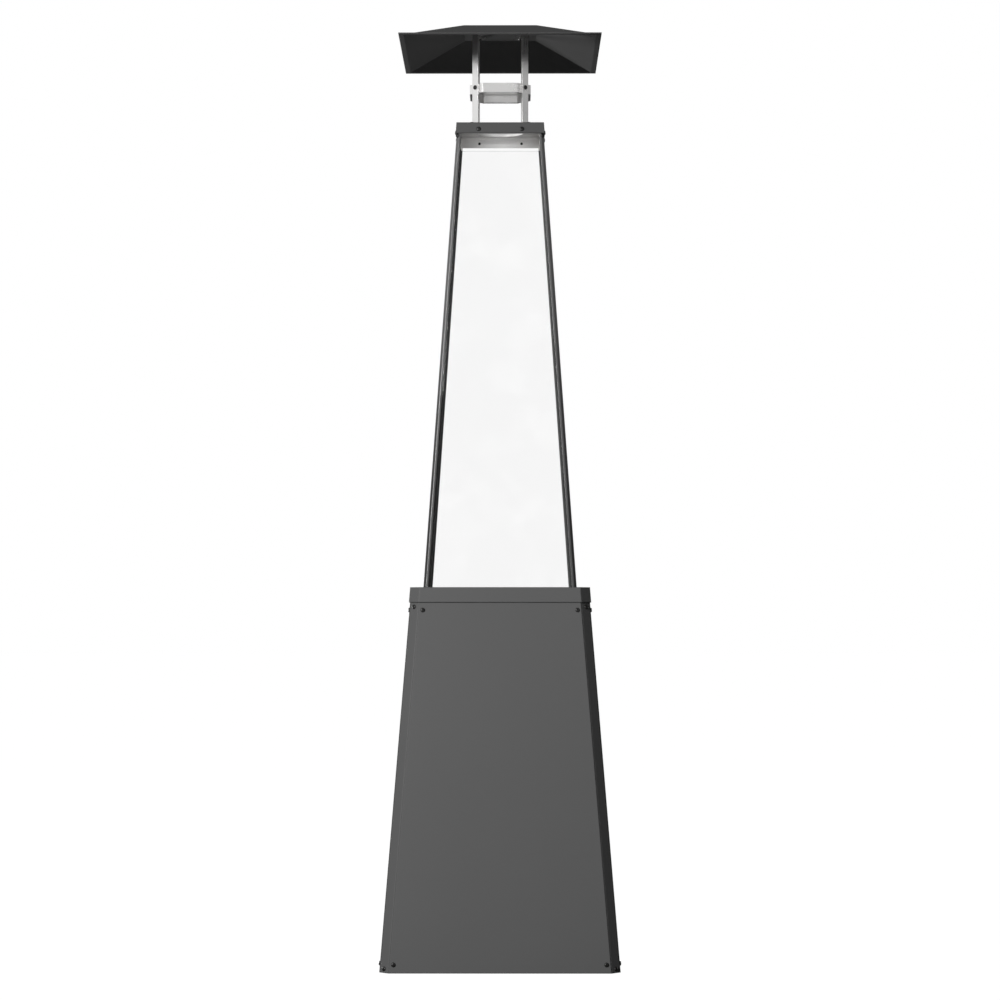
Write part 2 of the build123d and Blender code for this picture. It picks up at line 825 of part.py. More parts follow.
# Pilot bracket: a small shelf on one leg, which holds the pilot, the sensor and the electrode
shelf_low_x = spark_x - pilot_plate_margin
shelf_high_x = sensor_x + pilot_plate_margin / 2
shelf_low_y = pilot_y - pilot_plate_margin
shelf_high_y = spark_y + pilot_plate_margin
with BuildPart() as pilot_bracket:
    with BuildSketch(Plane.XY.offset(pilot_plate_height)):
        with Locations(((shelf_low_x + shelf_high_x) / 2, (shelf_low_y + shelf_high_y) / 2)):
            Rectangle(shelf_high_x - shelf_low_x, shelf_high_y - shelf_low_y)
        with Locations((pilot_x, pilot_y)):
            RegularPolygon(pilot_pipe_radius, pipe_sides, mode=Mode.SUBTRACT)
        with Locations((sensor_x, sensor_y)):
            Circle(sensor_radius, mode=Mode.SUBTRACT)
        with Locations((spark_x, spark_y)):
            Circle(spark_radius, mode=Mode.SUBTRACT)
    extrude(amount=pilot_plate_sheet)
    with BuildSketch(Plane.XY.offset(dish_low + dish_sheet)):
        with Locations((pilot_x, shelf_high_y - pilot_plate_sheet / 2)):
            Rectangle(2 * pilot_plate_margin, pilot_plate_sheet)
    extrude(amount=pilot_plate_height - dish_low - dish_sheet)
save(pilot_bracket, "pilot_bracket")

with BuildPart() as pilot_burner:
    rod(Plane.XY, [(pilot_x, pilot_y)], pilot_radius, pilot_floor, pilot_floor + pilot_height)
    drill(Plane.XY, [(pilot_x, pilot_y)], pilot_bore, pilot_floor + pilot_height, pilot_floor + pilot_height / 2)
save(pilot_burner, "pilot_burner")

# Gas valve behind the control panel, square to the leaning wall
valve_face = -valve_setback
valve_back = valve_face - valve_deep
valve_middle = valve_face - valve_deep / 2
with BuildPart() as gas_valve:
    with BuildSketch(rear_wall.offset(valve_face)):
        with Locations(knob_spot):
            RectangleRounded(valve_width, valve_tall, valve_corner)
    extrude(amount=-valve_deep)
    rod(rear_wall, [knob_spot], neck_radius, valve_face, neck_proud)
    bore_end = -spindle_reach - spindle_travel - spindle_end_gap
    drill(rear_wall, [knob_spot], spindle_radius + running_clearance, neck_proud, bore_end)
save(gas_valve, "gas_valve")

with BuildPart() as valve_spindle:
    rod(rear_wall, [knob_spot], spindle_radius, -spindle_reach, spindle_proud)
save(valve_spindle, "valve_spindle")

# Control knob: disc and raised grip bar, hollow over the valve's neck
with BuildPart() as control_knob:
    rod(rear_wall, [knob_spot], knob_radius, knob_lift, knob_lift + knob_disc)
    slab(rear_wall, knob_spot, knob_grip_length, knob_grip_width, knob_lift + knob_disc, knob_lift + knob_height)
    drill(rear_wall, [knob_spot], neck_radius + knob_recess_gap, knob_lift, knob_lift + knob_recess)
    drill(rear_wall, [knob_spot], spindle_radius + running_clearance, knob_lift, spindle_proud + knob_bore_gap)
save(control_knob, "control_knob")

# Dial plate under the knob and the igniter button
with BuildPart() as dial_plate:
    with BuildSketch(rear_wall):
        with Locations((0, control_rise)):
            RectangleRounded(dial_width, dial_height, dial_corner)
        with Locations(knob_spot):
            Circle(neck_radius, mode=Mode.SUBTRACT)
        with Locations(button_spot):
            Circle(piezo_radius, mode=Mode.SUBTRACT)
    extrude(amount=dial_sheet)
save(dial_plate, "dial_plate")

button_face = dial_sheet + piezo_collar
with BuildPart() as piezo_igniter:
    rod(rear_wall, [button_spot], piezo_radius, -piezo_depth, dial_sheet)
    rod(rear_wall, [button_spot], piezo_collar_radius, dial_sheet, button_face)
    bore_end = -button_depth - button_travel - button_end_gap
    drill(rear_wall, [button_spot], button_radius + running_clearance, button_face, bore_end)
save(piezo_igniter, "piezo_igniter")

with BuildPart() as igniter_button:
    rod(rear_wall, [button_spot], button_radius, -button_depth, button_face + button_proud)
    chamfer(igniter_button.faces().sort_by(Axis.Y)[-1].edges(), button_round)
save(igniter_button, "igniter_button")

# Gas inlet: hexagon and threaded end that point down from the valve
inlet_plane = Plane(
    origin=rear_wall.from_local_coords(Vector(knob_spot[0], control_rise - valve_tall / 2, valve_middle)),
    x_dir=rear_wall.x_dir,
    z_dir=rear_wall.y_dir * -1,
)
with BuildPart() as gas_inlet:
    with BuildSketch(inlet_plane):
        RegularPolygon(inlet_nut_width / 2, 6, major_radius=False)
    extrude(amount=inlet_length - inlet_thread)
    rod(inlet_plane, [(0, 0)], inlet_radius, inlet_length - inlet_thread, inlet_length)
    drill(inlet_plane, [(0, 0)], inlet_bore, inlet_length - inlet_bore_depth, inlet_length)
save(gas_inlet, "gas_inlet")

# Pipes and leads between the valve, the igniter and the burner
outlet_point = rear_wall.from_local_coords(
    Vector(knob_spot[0] - valve_width / 2, control_rise, valve_middle)
)
with BuildPart() as burner_pipe:
    pipe(
        [
            outlet_point,
            Vector(0, outlet_point.Y, outlet_point.Z),
            Vector(0, outlet_point.Y, port_height),
            Vector(0, injector_width / 2 - injector_port, port_height),
        ],
        burner_pipe_bend,
        burner_pipe_radius,
        pipe_sides,
    )
save(burner_pipe, "burner_pipe")


def valve_port(x, rise):
    """Point on the valve's back face, at a level position and a distance up the wall."""
    return rear_wall.from_local_coords(Vector(-x, rise, valve_back))


def under_spot(start, y):
    """Point straight inwards from a start, at a depth from the front."""
    return start + inward * ((y - start.Y) / inward.Y)


pilot_start = valve_port(pilot_x, control_rise + line_spread)
with BuildPart() as pilot_pipe:
    turn_point = under_spot(pilot_start, pilot_y)
    pipe(
        [pilot_start, turn_point, Vector(pilot_x, pilot_y, pilot_floor)],
        pilot_pipe_bend,
        pilot_pipe_radius,
        pipe_sides,
    )
save(pilot_pipe, "pilot_pipe")

# Thermocouple: sensing tip on a long thin lead
sensor_start = valve_port(sensor_x, control_rise - line_spread)
sensor_low = pilot_plate_height - sensor_tail
with BuildPart() as thermocouple:
    turn_point = under_spot(sensor_start, sensor_y)
    pipe([sensor_start, turn_point, Vector(sensor_x, sensor_y, sensor_low)], lead_bend, lead_radius, pipe_sides)
    rod(Plane.XY, [(sensor_x, sensor_y)], sensor_radius, sensor_low, pilot_floor + pilot_height)
save(thermocouple, "thermocouple")

# Spark electrode: ceramic sleeve and wire tip, with its lead from the igniter
spark_start = rear_wall.from_local_coords(Vector(button_spot[0], control_rise, -piezo_depth))
lead_turn = spark_start + inward * lead_drop_depth
spark_top = pilot_plate_height + pilot_height
with BuildPart() as spark_electrode:
    pipe(
        [
            spark_start,
            lead_turn,
            Vector(spark_x, lead_turn.Y, lead_turn.Z),
            Vector(spark_x, spark_y, lead_turn.Z),
            Vector(spark_x, spark_y, sensor_low),
        ],
        lead_bend,
        lead_radius,
        pipe_sides,
    )
    rod(Plane.XY, [(spark_x, spark_y)], spark_radius, sensor_low, spark_top)
    rod(Plane.XY, [(spark_x, spark_y)], spark_wire_radius, spark_top, spark_top + spark_wire_length)
save(spark_electrode, "spark_electrode")

# Tilt switch under the deck
with BuildPart() as tilt_switch:
    rod(Plane.XY, [(tilt_offset, 0)], tilt_radius, deck_top - deck_sheet, deck_top - deck_sheet - tilt_height)
save(tilt_switch, "tilt_switch")

# Tower posts: slim folded sheet with a chamfered nose, from the deck up to the cap
for turn, side in zip(TURNS, SIDES):
    with BuildPart() as tower_post:
        ends = []
        for z in (deck_top, cap_top - cap_sheet):
            section = fold_corners(tower_half(z), tower_leg, tower_lip, tower_lip, tower_sheet, z)
            ends.append([corner.rotate(Axis.Z, turn) for corner in section])
        block(*ends)
        screw_holes(tower_nose(turn), nose_cap_spots(), tower_sheet, -2 * tower_sheet)
    save(tower_post, f"tower_post_{side}")

# Seat on the deck that carries the panes' lower edges
seat_top = deck_top + seat_sheet
seat_rim = deck_top + seat_height
seat_inner = pane_inner + seat_sheet
with BuildPart() as pane_seat:
    taper_between(tower_ring, deck_top, seat_top, tower_sheet, tower_sheet)
    block(square(seat_top, tower_half(seat_top) - pane_inner), square(seat_rim, tower_half(seat_rim) - pane_inner))
    block(
        square(deck_top, tower_half(deck_top) - seat_inner),
        square(seat_rim, tower_half(seat_rim) - seat_inner),
        Mode.SUBTRACT,
    )
save(pane_seat, "pane_seat")

# Glass panes behind the posts' lips
for turn, name in zip(TURNS, ("front", "right", "rear", "left")):
    with BuildPart() as glass_pane:
        ends = []
        for z in (seat_top, pane_top):
            half = tower_half(z)
            near, far, side = half - tower_sheet, half - pane_inner, half - pane_inner - pane_gap
            corners = [(-side, -near), (side, -near), (side, -far), (-side, -far)]
            ends.append([Vector(x, y, z).rotate(Axis.Z, turn) for x, y in corners])
        block(*ends)
    save(glass_pane, f"glass_pane_{name}")

# Corner strips that hold the panes against the posts from inside
with BuildPart() as pane_retainers:
    for turn in TURNS:
        ends = []
        for z in (seat_rim, pane_top):
            outer = tower_half(z) - pane_inner
            inner, end = outer - strip_sheet, outer - strip_leg
            corners = [(end, -outer), (outer, -outer), (outer, -end), (inner, -end), (inner, -inner), (end, -inner)]
            ends.append([Vector(x, y, z).rotate(Axis.Z, turn) for x, y in corners])
        block(*ends)
save(pane_retainers, "pane_retainers")

# Bright frame inside the cap: walls behind the posts' lips and a top plate with the turned-down outlet rim
liner_low = tower_top - liner_reach
liner_top = cap_top - cap_sheet
tab_low = pane_top + pane_gap
cap_inner = cap_overhang - cap_sheet
liner_inner = tower_sheet + liner_sheet
tab_opening = 2 * (tower_half(tower_top) - tower_leg - tower_lip)
with BuildPart() as top_frame:
    taper_between(tower_ring, tab_low, liner_top, tower_sheet, tower_sheet)
    taper_between(
        tower_ring,
        tab_low - liner_sheet,
        liner_top - liner_sheet,
        liner_inner,
        liner_inner,
        Mode.SUBTRACT,
    )
    for size in ((tab_opening, tower_top_width), (tower_top_width, tab_opening)):
        with BuildSketch(Plane.XY.offset(liner_low)):
            Rectangle(*size)
        extrude(amount=tab_low - liner_sheet - liner_low, mode=Mode.SUBTRACT)
    rod(Plane.XY, [(0, 0)], outlet_radius, liner_top, liner_top - outlet_rim)
    drill(Plane.XY, [(0, 0)], outlet_radius - liner_sheet, liner_top, liner_top - outlet_rim)
    for turn in TURNS:
        with BuildSketch(tower_wall(turn).offset(-tower_sheet * tower_lean)) as bosses:
            screw_outline(cap_spots(), boss_radius)
        extrude(bosses.sketch, amount=(tower_sheet + cap_inner) * tower_lean)
        screw_holes(tower_wall(turn), cap_spots(), cap_overhang, -liner_inner - liner_sheet)
        screw_holes(tower_nose(turn), nose_cap_spots(), 0, -liner_inner - liner_sheet)
save(top_frame, "top_frame")

# Top cap: square painted cover over the posts and the inner frame
with BuildPart() as top_cap:
    block(
        square(tower_top, tower_half(tower_top) + cap_overhang),
        square(cap_top, tower_half(cap_top) + cap_overhang),
    )
    block(
        square(tower_top - cap_sheet, tower_half(tower_top - cap_sheet) + cap_inner),
        square(cap_top - cap_sheet, tower_half(cap_top - cap_sheet) + cap_inner),
        Mode.SUBTRACT,
    )
    drill(Plane.XY, [(0, 0)], outlet_radius, cap_top, cap_top - cap_sheet)
    for turn in TURNS:
        screw_holes(tower_wall(turn), cap_spots(), 2 * cap_overhang, 0)
save(top_cap, "top_cap")

# Hood bars: flat bars on the corners with feet turned out on the cap and in under the hood
bar_inner = bar_radius - bar_sheet
foot_spot = bar_radius + bar_foot / 2
head_spot = bar_inner - bar_foot / 2
spokes = [Vector(1, 0, 0).rotate(Axis.Z, turn + 45) for turn in TURNS]
with BuildPart() as hood_bars:
    for spoke in spokes:
        across = spoke.rotate(Axis.Z, 90)
        with BuildSketch(Plane(origin=across * (bar_width / 2), x_dir=spoke, z_dir=across * -1)):
            Polygon(
                (bar_radius + bar_foot, cap_top),
                (bar_radius + bar_foot, cap_top + bar_sheet),
                (bar_radius, cap_top + bar_sheet),
                (bar_radius, hood_underside),
                (bar_inner - bar_foot, hood_underside),
                (bar_inner - bar_foot, hood_underside - bar_sheet),
                (bar_inner, hood_underside - bar_sheet),
                (bar_inner, cap_top),
            )
        extrude(amount=bar_width)
    screw_holes(Plane.XY, [spoke * foot_spot for spoke in spokes], cap_top, cap_top + bar_sheet)
    screw_holes(Plane.XY, [spoke * head_spot for spoke in spokes], hood_underside - bar_sheet, hood_underside)
    for turn in TURNS:
        screw_holes(bar_wall(turn), [(0, band_screw_height)], 0, -bar_sheet)
save(hood_bars, "hood_bars")

# Ring band inside the bars, with chamfered corners that lie against them
band_half = band_width / 2
band_inner = band_half - band_sheet
with BuildPart() as ring_band:
    block(
        octagon(band_half, 2 * band_half - diagonal * bar_inner, band_low),
        octagon(band_half, 2 * band_half - diagonal * bar_inner, band_low + band_height),
    )
    block(
        octagon(band_inner, 2 * band_inner - diagonal * (bar_inner - band_sheet), band_low),
        octagon(band_inner, 2 * band_inner - diagonal * (bar_inner - band_sheet), band_low + band_height),
        Mode.SUBTRACT,
    )
    for turn in TURNS:
        screw_holes(bar_wall(turn), [(0, band_screw_height)], -bar_sheet, -bar_sheet - 2 * band_sheet)
save(ring_band, "ring_band")

# Hood: sheet pyramid with a flat top and an outward brim with a hemmed edge
brim_half = hood_width / 2
hood_top_half = hood_top_width / 2
skirt_half = brim_half - brim_width
hood_slope = hood_drop / (skirt_half - hood_top_half)
sheet_run = hood_sheet / sin(atan(hood_slope))
under_half = skirt_half - sheet_run
with BuildPart() as hood_shell:
    block(square(brim_low, skirt_half), square(hood_top, hood_top_half))
    block(square(brim_low, brim_half), square(brim_low + hood_sheet, brim_half))
    block(square(brim_low, brim_half), square(brim_low + brim_hem, brim_half))
    block(
        square(brim_low + hood_sheet, brim_half - brim_hem_sheet),
        square(brim_low + brim_hem, brim_half - brim_hem_sheet),
        Mode.SUBTRACT,
    )
    block(square(brim_low, skirt_half), square(hood_top, hood_top_half))
    block(
        square(brim_low - hood_sheet, under_half + hood_sheet / hood_slope),
        square(hood_underside, under_half - (hood_underside - brim_low) / hood_slope),
        Mode.SUBTRACT,
    )
save(hood_shell, "hood_shell")

# Screws of the cabinet: panel corners, then the post noses into the tray and the deck
with BuildPart() as cabinet_screws:
    for turn in TURNS:
        add_screws(cabinet_wall(turn), wall_spots(panel_screws), 0, 3 * frame_inset)
        add_screws(cabinet_nose(turn), nose_spots(), 0, 3 * post_sheet)
save(cabinet_screws, "cabinet_screws")

# Screws of the tower: cap sides, then the post noses under the cap
with BuildPart() as tower_screws:
    for turn in TURNS:
        add_screws(tower_wall(turn), cap_spots(), cap_overhang * tower_lean, cap_overhang + liner_inner + liner_sheet)
        add_screws(tower_nose(turn), nose_cap_spots(), 0, liner_inner + liner_sheet)
save(tower_screws, "tower_screws")

# Screws of the hood: bar feet, bar heads and the ring band
with BuildPart() as hood_screws:
    add_screws(Plane.XY, [spoke * foot_spot for spoke in spokes], cap_top + bar_sheet, bar_sheet)
    under_plane = Plane(origin=(0, 0, 0), x_dir=(1, 0, 0), z_dir=(0, 0, -1))
    under_spots = [(spoke.X * head_spot, -spoke.Y * head_spot) for spoke in spokes]
    add_screws(under_plane, under_spots, bar_sheet - hood_underside, bar_sheet)
    for turn in TURNS:
        add_screws(bar_wall(turn), [(0, band_screw_height)], 0, bar_sheet + 2 * band_sheet)
save(hood_screws, "hood_screws")
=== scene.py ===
"""Finishes, small details and a plain studio for a free-standing pyramid gas heater.

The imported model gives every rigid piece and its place. This file gives each piece its finish and adds what
the plain solids leave out: pan heads with a cross recess, knobs shaped for the hand, a printed dial, hinge
rivets, a rolled edge round the outlet, the folded edges of the ring band and the nuts inside the cap. It
also sets up the floor, the lamps and the camera.

Lengths are in metres, the scale of a noise is in cells per metre, and grey levels are linear.
"""

import json
import logging
import math
from collections.abc import Callable, Iterator, Mapping, Sequence
from dataclasses import dataclass, replace
from enum import Enum
from functools import cache
from typing import Union

import bpy
import numpy as np
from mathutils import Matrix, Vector

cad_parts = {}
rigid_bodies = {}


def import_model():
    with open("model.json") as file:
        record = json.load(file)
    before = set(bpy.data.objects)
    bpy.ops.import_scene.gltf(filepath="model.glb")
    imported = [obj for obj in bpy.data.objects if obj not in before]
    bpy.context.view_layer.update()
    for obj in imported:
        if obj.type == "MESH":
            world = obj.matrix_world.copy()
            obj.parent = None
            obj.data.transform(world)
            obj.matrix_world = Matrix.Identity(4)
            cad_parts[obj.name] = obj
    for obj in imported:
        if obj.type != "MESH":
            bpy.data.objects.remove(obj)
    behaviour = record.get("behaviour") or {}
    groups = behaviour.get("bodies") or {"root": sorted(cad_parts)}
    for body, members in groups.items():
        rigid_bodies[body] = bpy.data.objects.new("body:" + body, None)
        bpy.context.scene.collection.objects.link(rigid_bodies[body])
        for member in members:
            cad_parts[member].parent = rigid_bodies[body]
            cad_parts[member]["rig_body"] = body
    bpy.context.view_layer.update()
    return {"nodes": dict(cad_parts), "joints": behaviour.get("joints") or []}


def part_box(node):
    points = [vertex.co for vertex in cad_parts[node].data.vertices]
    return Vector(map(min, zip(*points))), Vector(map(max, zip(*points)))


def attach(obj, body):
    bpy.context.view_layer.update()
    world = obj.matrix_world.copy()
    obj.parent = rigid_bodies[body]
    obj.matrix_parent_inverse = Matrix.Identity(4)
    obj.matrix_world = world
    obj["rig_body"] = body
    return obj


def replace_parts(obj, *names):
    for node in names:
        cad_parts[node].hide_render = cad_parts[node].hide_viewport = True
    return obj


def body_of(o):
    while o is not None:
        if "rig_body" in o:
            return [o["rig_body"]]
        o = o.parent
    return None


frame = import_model()

log = logging.getLogger("heater")
MM = 0.001
SIDES = ("front", "right", "rear", "left")
CORNERS = ("front_right", "rear_right", "rear_left", "front_left")
UPRIGHT = (0.0, 0.0, 1.0)
ALIKE = 0.999  # cosine past which two directions count as one
TINY = 1e-6  # keeps a division from nought and a comparison from rounding
CREASE = math.radians(40)  # angle past which smooth shading keeps an edge sharp


# Shader arithmetic


def arithmetic(operation: str, swapped: bool = False) -> Callable[["Signal", "Number"], "Signal"]:
    """Makes an operator that adds a Math node on a signal and another value.

    Args:
        operation: The node's operation.
        swapped: True where the other value comes first.

    Returns:
        The operator, as a method.
    """

    def operator(self: "Signal", other: "Number") -> "Signal":
        """Adds the Math node."""
        first, second = (other, self) if swapped else (self, other)
        return self.recipe.add("ShaderNodeMath", {"operation": operation}, {0: first, 1: second})

    return operator


class Signal:
    """One output of a shader node that takes part in Python arithmetic. A comparison gives one or nought."""

    __add__ = arithmetic("ADD")
    __radd__ = arithmetic("ADD", swapped=True)
    __sub__ = arithmetic("SUBTRACT")
    __rsub__ = arithmetic("SUBTRACT", swapped=True)
    __mul__ = arithmetic("MULTIPLY")
    __rmul__ = arithmetic("MULTIPLY", swapped=True)
    __truediv__ = arithmetic("DIVIDE")
    __gt__ = arithmetic("GREATER_THAN")
    __lt__ = arithmetic("LESS_THAN")

    def __init__(self, recipe: "Recipe", socket: bpy.types.NodeSocket) -> None:
        """Keeps the socket and the recipe that it belongs to."""
        self.recipe = recipe
        self.socket = socket

    def __abs__(self) -> "Signal":
        """Value without its sign."""
        return self.recipe.add("ShaderNodeMath", {"operation": "ABSOLUTE"}, {0: self, 1: 0.0})


Number = Union[Signal, float, int]
Entry = Union[Number, Sequence[float]]
Key = Union[str, int]
Settings = Mapping[str, object]
Sockets = Mapping[Key, Entry]
Owner = Union[bpy.types.Material, bpy.types.World]
Colour = tuple[float, float, float, float]
Triple = tuple[float, float, float]


class Grain(Enum):
    """Direction in which steel was brushed, as the stretch of a pattern along each axis."""

    UPRIGHT = (1.0, 1.0, 0.012)
    LEVEL = (0.012, 0.012, 1.0)


@dataclass(frozen=True)
class Pattern:
    """A soft random pattern: cells in a metre, layers of detail, their strength, and stretch by axis."""

    scale: float
    detail: float = 3.0
    rough: float = 0.5
    stretch: Triple = (1.0, 1.0, 1.0)


class Recipe:
    """The node tree of one material, or of the world, built from expressions."""

    def __init__(self, owner: Owner) -> None:
        """Starts an empty tree.

        Args:
            owner: The material or world that the tree belongs to.
        """
        owner.use_nodes = True
        self.owner = owner
        self.tree = owner.node_tree
        self.tree.nodes.clear()

    def node(
        self, kind: str, settings: Settings | None = None, sockets: Sockets | None = None
    ) -> bpy.types.Node:
        """Adds one node, sets it up and fills its sockets.

        Args:
            kind: The node's type.
            settings: Its properties, and "stops" for a colour ramp's (place, colour) pairs.
            sockets: Values or links, by socket name, identifier or number.

        Returns:
            The node.
        """
        node = self.tree.nodes.new(kind)
        for key, value in (settings or {}).items():
            if key == "stops":
                ramp = node.color_ramp
                while len(ramp.elements) < len(value):
                    ramp.elements.new(0.5)
                for element, (place, colour) in zip(ramp.elements, value):
                    element.position = place
                    element.color = colour
            else:
                setattr(node, key, value)
        for key, value in (sockets or {}).items():
            target = self.find(node.inputs, key)
            if isinstance(value, Signal):
                self.tree.links.new(value.socket, target)
            else:
                target.default_value = value
        return node

    def add(
        self,
        kind: str,
        settings: Settings | None = None,
        sockets: Sockets | None = None,
        result: Key = 0,
    ) -> Signal:
        """Adds one node and hands back one of its outputs.

        Args:
            kind: The node's type.
            settings: Its properties, as node() takes them.
            sockets: Values or links, as node() takes them.
            result: The output that is handed back, by name, identifier or number.

        Returns:
            The node's output.
        """
        return Signal(self, self.find(self.node(kind, settings, sockets).outputs, result))

    @staticmethod
    def find(sockets: bpy.types.bpy_prop_collection, key: Key) -> bpy.types.NodeSocket:
        """Finds a socket.

        Args:
            sockets: A node's inputs or outputs.
            key: The socket's number, identifier or name.

        Returns:
            The socket.
        """
        if isinstance(key, int):
            return sockets[key]
        for socket in sockets:
            if socket.identifier == key:
                return socket
        return sockets[key]

    def place(self, stretch: Sequence[float] = (1.0, 1.0, 1.0)) -> Signal:
        """Object coordinates, stretched along each axis."""
        here = self.add("ShaderNodeTexCoord", result="Object")
        return self.add("ShaderNodeMapping", {}, {"Vector": here, "Scale": tuple(stretch)})

    def axis(self, vector: Signal, name: str) -> Signal:
        """One part of a vector, by the name of its axis."""
        return self.add("ShaderNodeSeparateXYZ", {}, {"Vector": vector}, name)

    def noise(self, pattern: Pattern) -> Signal:
        """Soft random value from 0 to 1."""
        cells = {"Scale": pattern.scale, "Detail": pattern.detail, "Roughness": pattern.rough}
        return self.add("ShaderNodeTexNoise", {}, {"Vector": self.place(pattern.stretch), **cells})

    def mix(self, share: Number, first: Entry, second: Entry) -> Signal:
        """Colour between two colours."""
        sockets = {"Factor_Float": share, "A_Color": first, "B_Color": second}
        return self.add("ShaderNodeMix", {"data_type": "RGBA"}, sockets, "Result_Color")

    def clamp(self, first: Number, second: Number) -> Signal:
        """Product of two values, kept between 0 and 1."""
        settings = {"operation": "MULTIPLY", "use_clamp": True}
        return self.add("ShaderNodeMath", settings, {0: first, 1: second})

    def soften(self, radius: float) -> Signal:
        """Surface normal that turns smoothly round an edge, over a radius."""
        return self.add("ShaderNodeBevel", {"samples": 6}, {"Radius": radius})

    def edges(self, soft: Signal, slack: float, gain: float) -> Signal:
        """How near the surface is to an edge: 0 on a flat or by a blunt crease, up to 1 on a sheet's rim.

        It is gain * (1 - slack - cosine of the angle between the softened and the true normal).

        Args:
            soft: The softened normal.
            slack: What the cosine may lack before the value grows.
            gain: How fast the value then grows.

        Returns:
            The value, kept between 0 and 1.
        """
        flat = self.add("ShaderNodeNewGeometry", result="True Normal")
        agree = self.add("ShaderNodeVectorMath", {"operation": "DOT_PRODUCT"}, {0: soft, 1: flat}, "Value")
        return self.clamp(1.0 - slack - agree, gain)

    def relief(self, height: Signal, depth: float, soft: Union[Signal, float] = 0.0) -> Signal:
        """Surface normal with a height pattern and, where asked, softened edges.

        Args:
            height: Pattern from 0 to 1.
            depth: Height of the pattern.
            soft: A softened normal, or the radius of the softened edges.

        Returns:
            The normal.
        """
        sockets = {"Height": height, "Distance": depth, "Strength": 1.0}
        if isinstance(soft, Signal):
            sockets["Normal"] = soft
        elif soft > 0:
            sockets["Normal"] = self.soften(soft)
        return self.add("ShaderNodeBump", {}, sockets)

    def surface(self, sockets: Sockets) -> Signal:
        """Adds the Principled shader."""
        return self.add("ShaderNodeBsdfPrincipled", {}, sockets)

    def finish(self, shader: Signal) -> Owner:
        """Links the shader to the output.

        Args:
            shader: The last node's output.

        Returns:
            The material or world.
        """
        kind = "World" if isinstance(self.owner, bpy.types.World) else "Material"
        self.node("ShaderNodeOutput" + kind, {}, {"Surface": shader})
        return self.owner

    def ray(self, *kinds: str) -> Signal:
        """Tells some kinds of ray from the rest.

        Args:
            kinds: The kinds, as Light Path names them.

        Returns:
            One for rays of these kinds, else nought.
        """
        total, *others = [self.add("ShaderNodeLightPath", result=kind) for kind in kinds]
        for share in others:
            total = self.add("ShaderNodeMath", {"operation": "MAXIMUM"}, {0: total, 1: share})
        return total


def grey(level: float, warmth: float = 0.0) -> Colour:
    """Linear grey with a touch of warmth, as a colour."""
    return (level * (1 + warmth), level, level * (1 - warmth), 1.0)


# Finishes


BRUSH_DEPTH = 0.00001
BRUSHING = {grain: Pattern(2600.0, 4.0, 0.6, grain.value) for grain in Grain}


@dataclass(frozen=True)
class Finish:
    """A finish that makes its own material."""

    name: str

    def sockets(self, r: Recipe) -> Sockets:
        """Works out what goes into the Principled shader.

        Args:
            r: The material's recipe.

        Returns:
            The shader's values or links.
        """
        raise NotImplementedError

    def make(self) -> bpy.types.Material:
        """Builds the material."""
        r = Recipe(bpy.data.materials.new(self.name))
        return r.finish(r.surface(self.sockets(r)))


@dataclass(frozen=True)
class PowderCoat(Finish):
    """Sprayed and baked paint: fine orange peel, uneven colour, rounded edges, and painted shade darkening
    its edges and creases.
    """

    level: float = 0.085
    rough: float = 0.55
    gloss: float = 0.35
    fine: Pattern = Pattern(1400.0, 2.0)
    coarse: Pattern = Pattern(420.0, 2.0)
    drift: Pattern = Pattern(3.1, 4.0)
    peel: float = 0.00007
    edge: float = 0.0032
    edge_slack: float = 0.07
    edge_gain: float = 6.0
    # Share and grey of the painted shade on rims and sharp creases.
    painted_edge_shade: float = 0.8
    painted_edge_level: float = 0.008

    def sockets(self, r: Recipe) -> Sockets:
        """Mixes a fine and a coarse peel for the relief, slow drifts for colour and sheen, and painted shade
        on edges.

        Args:
            r: The material's recipe.

        Returns:
            The shader's values or links.
        """
        fine, coarse, drift = (r.noise(pattern) for pattern in (self.fine, self.coarse, self.drift))
        soft = r.soften(self.edge)
        coat = r.mix(drift * 0.7 + fine * 0.3, grey(self.level * 0.93), grey(self.level * 1.07, -0.004))
        # Painted shade: the colour goes towards a dark grey near rims and sharp creases, where shade falls.
        near = r.edges(soft, self.edge_slack, self.edge_gain) * self.painted_edge_shade
        return {
            "Base Color": r.mix(near, coat, grey(self.painted_edge_level)),
            "Roughness": self.rough - 0.04 + 0.08 * coarse,
            "Specular IOR Level": self.gloss,
            "Normal": r.relief(fine * 0.6 + coarse * 0.4, self.peel, soft),
        }


@dataclass(frozen=True)
class BrushedSteel(Finish):
    """Stainless steel with fine straight brushing."""

    grain: Grain = Grain.UPRIGHT
    level: float = 0.62
    rough: float = 0.27
    metal: float = 1.0
    band_scale: float = 260.0
    cloud: Pattern = Pattern(22.0)
    edge: float = 0.0005

    def sockets(self, r: Recipe) -> Sockets:
        """Stretches noise along the brushing for the colour, the sheen and the relief.

        Args:
            r: The material's recipe.

        Returns:
            The shader's values or links.
        """
        lines = r.noise(BRUSHING[self.grain])
        bands = r.noise(Pattern(self.band_scale, 2.0, stretch=self.grain.value))
        cloud = r.noise(self.cloud)
        dull, bright = grey(self.level * 0.88, 0.012), grey(self.level * 1.1, 0.006)
        return {
            "Base Color": r.mix(lines * 0.6 + cloud * 0.4, dull, bright),
            "Metallic": self.metal,
            "Roughness": self.rough - 0.05 + 0.08 * bands + 0.06 * cloud,
            "Normal": r.relief(lines, BRUSH_DEPTH, self.edge),
        }


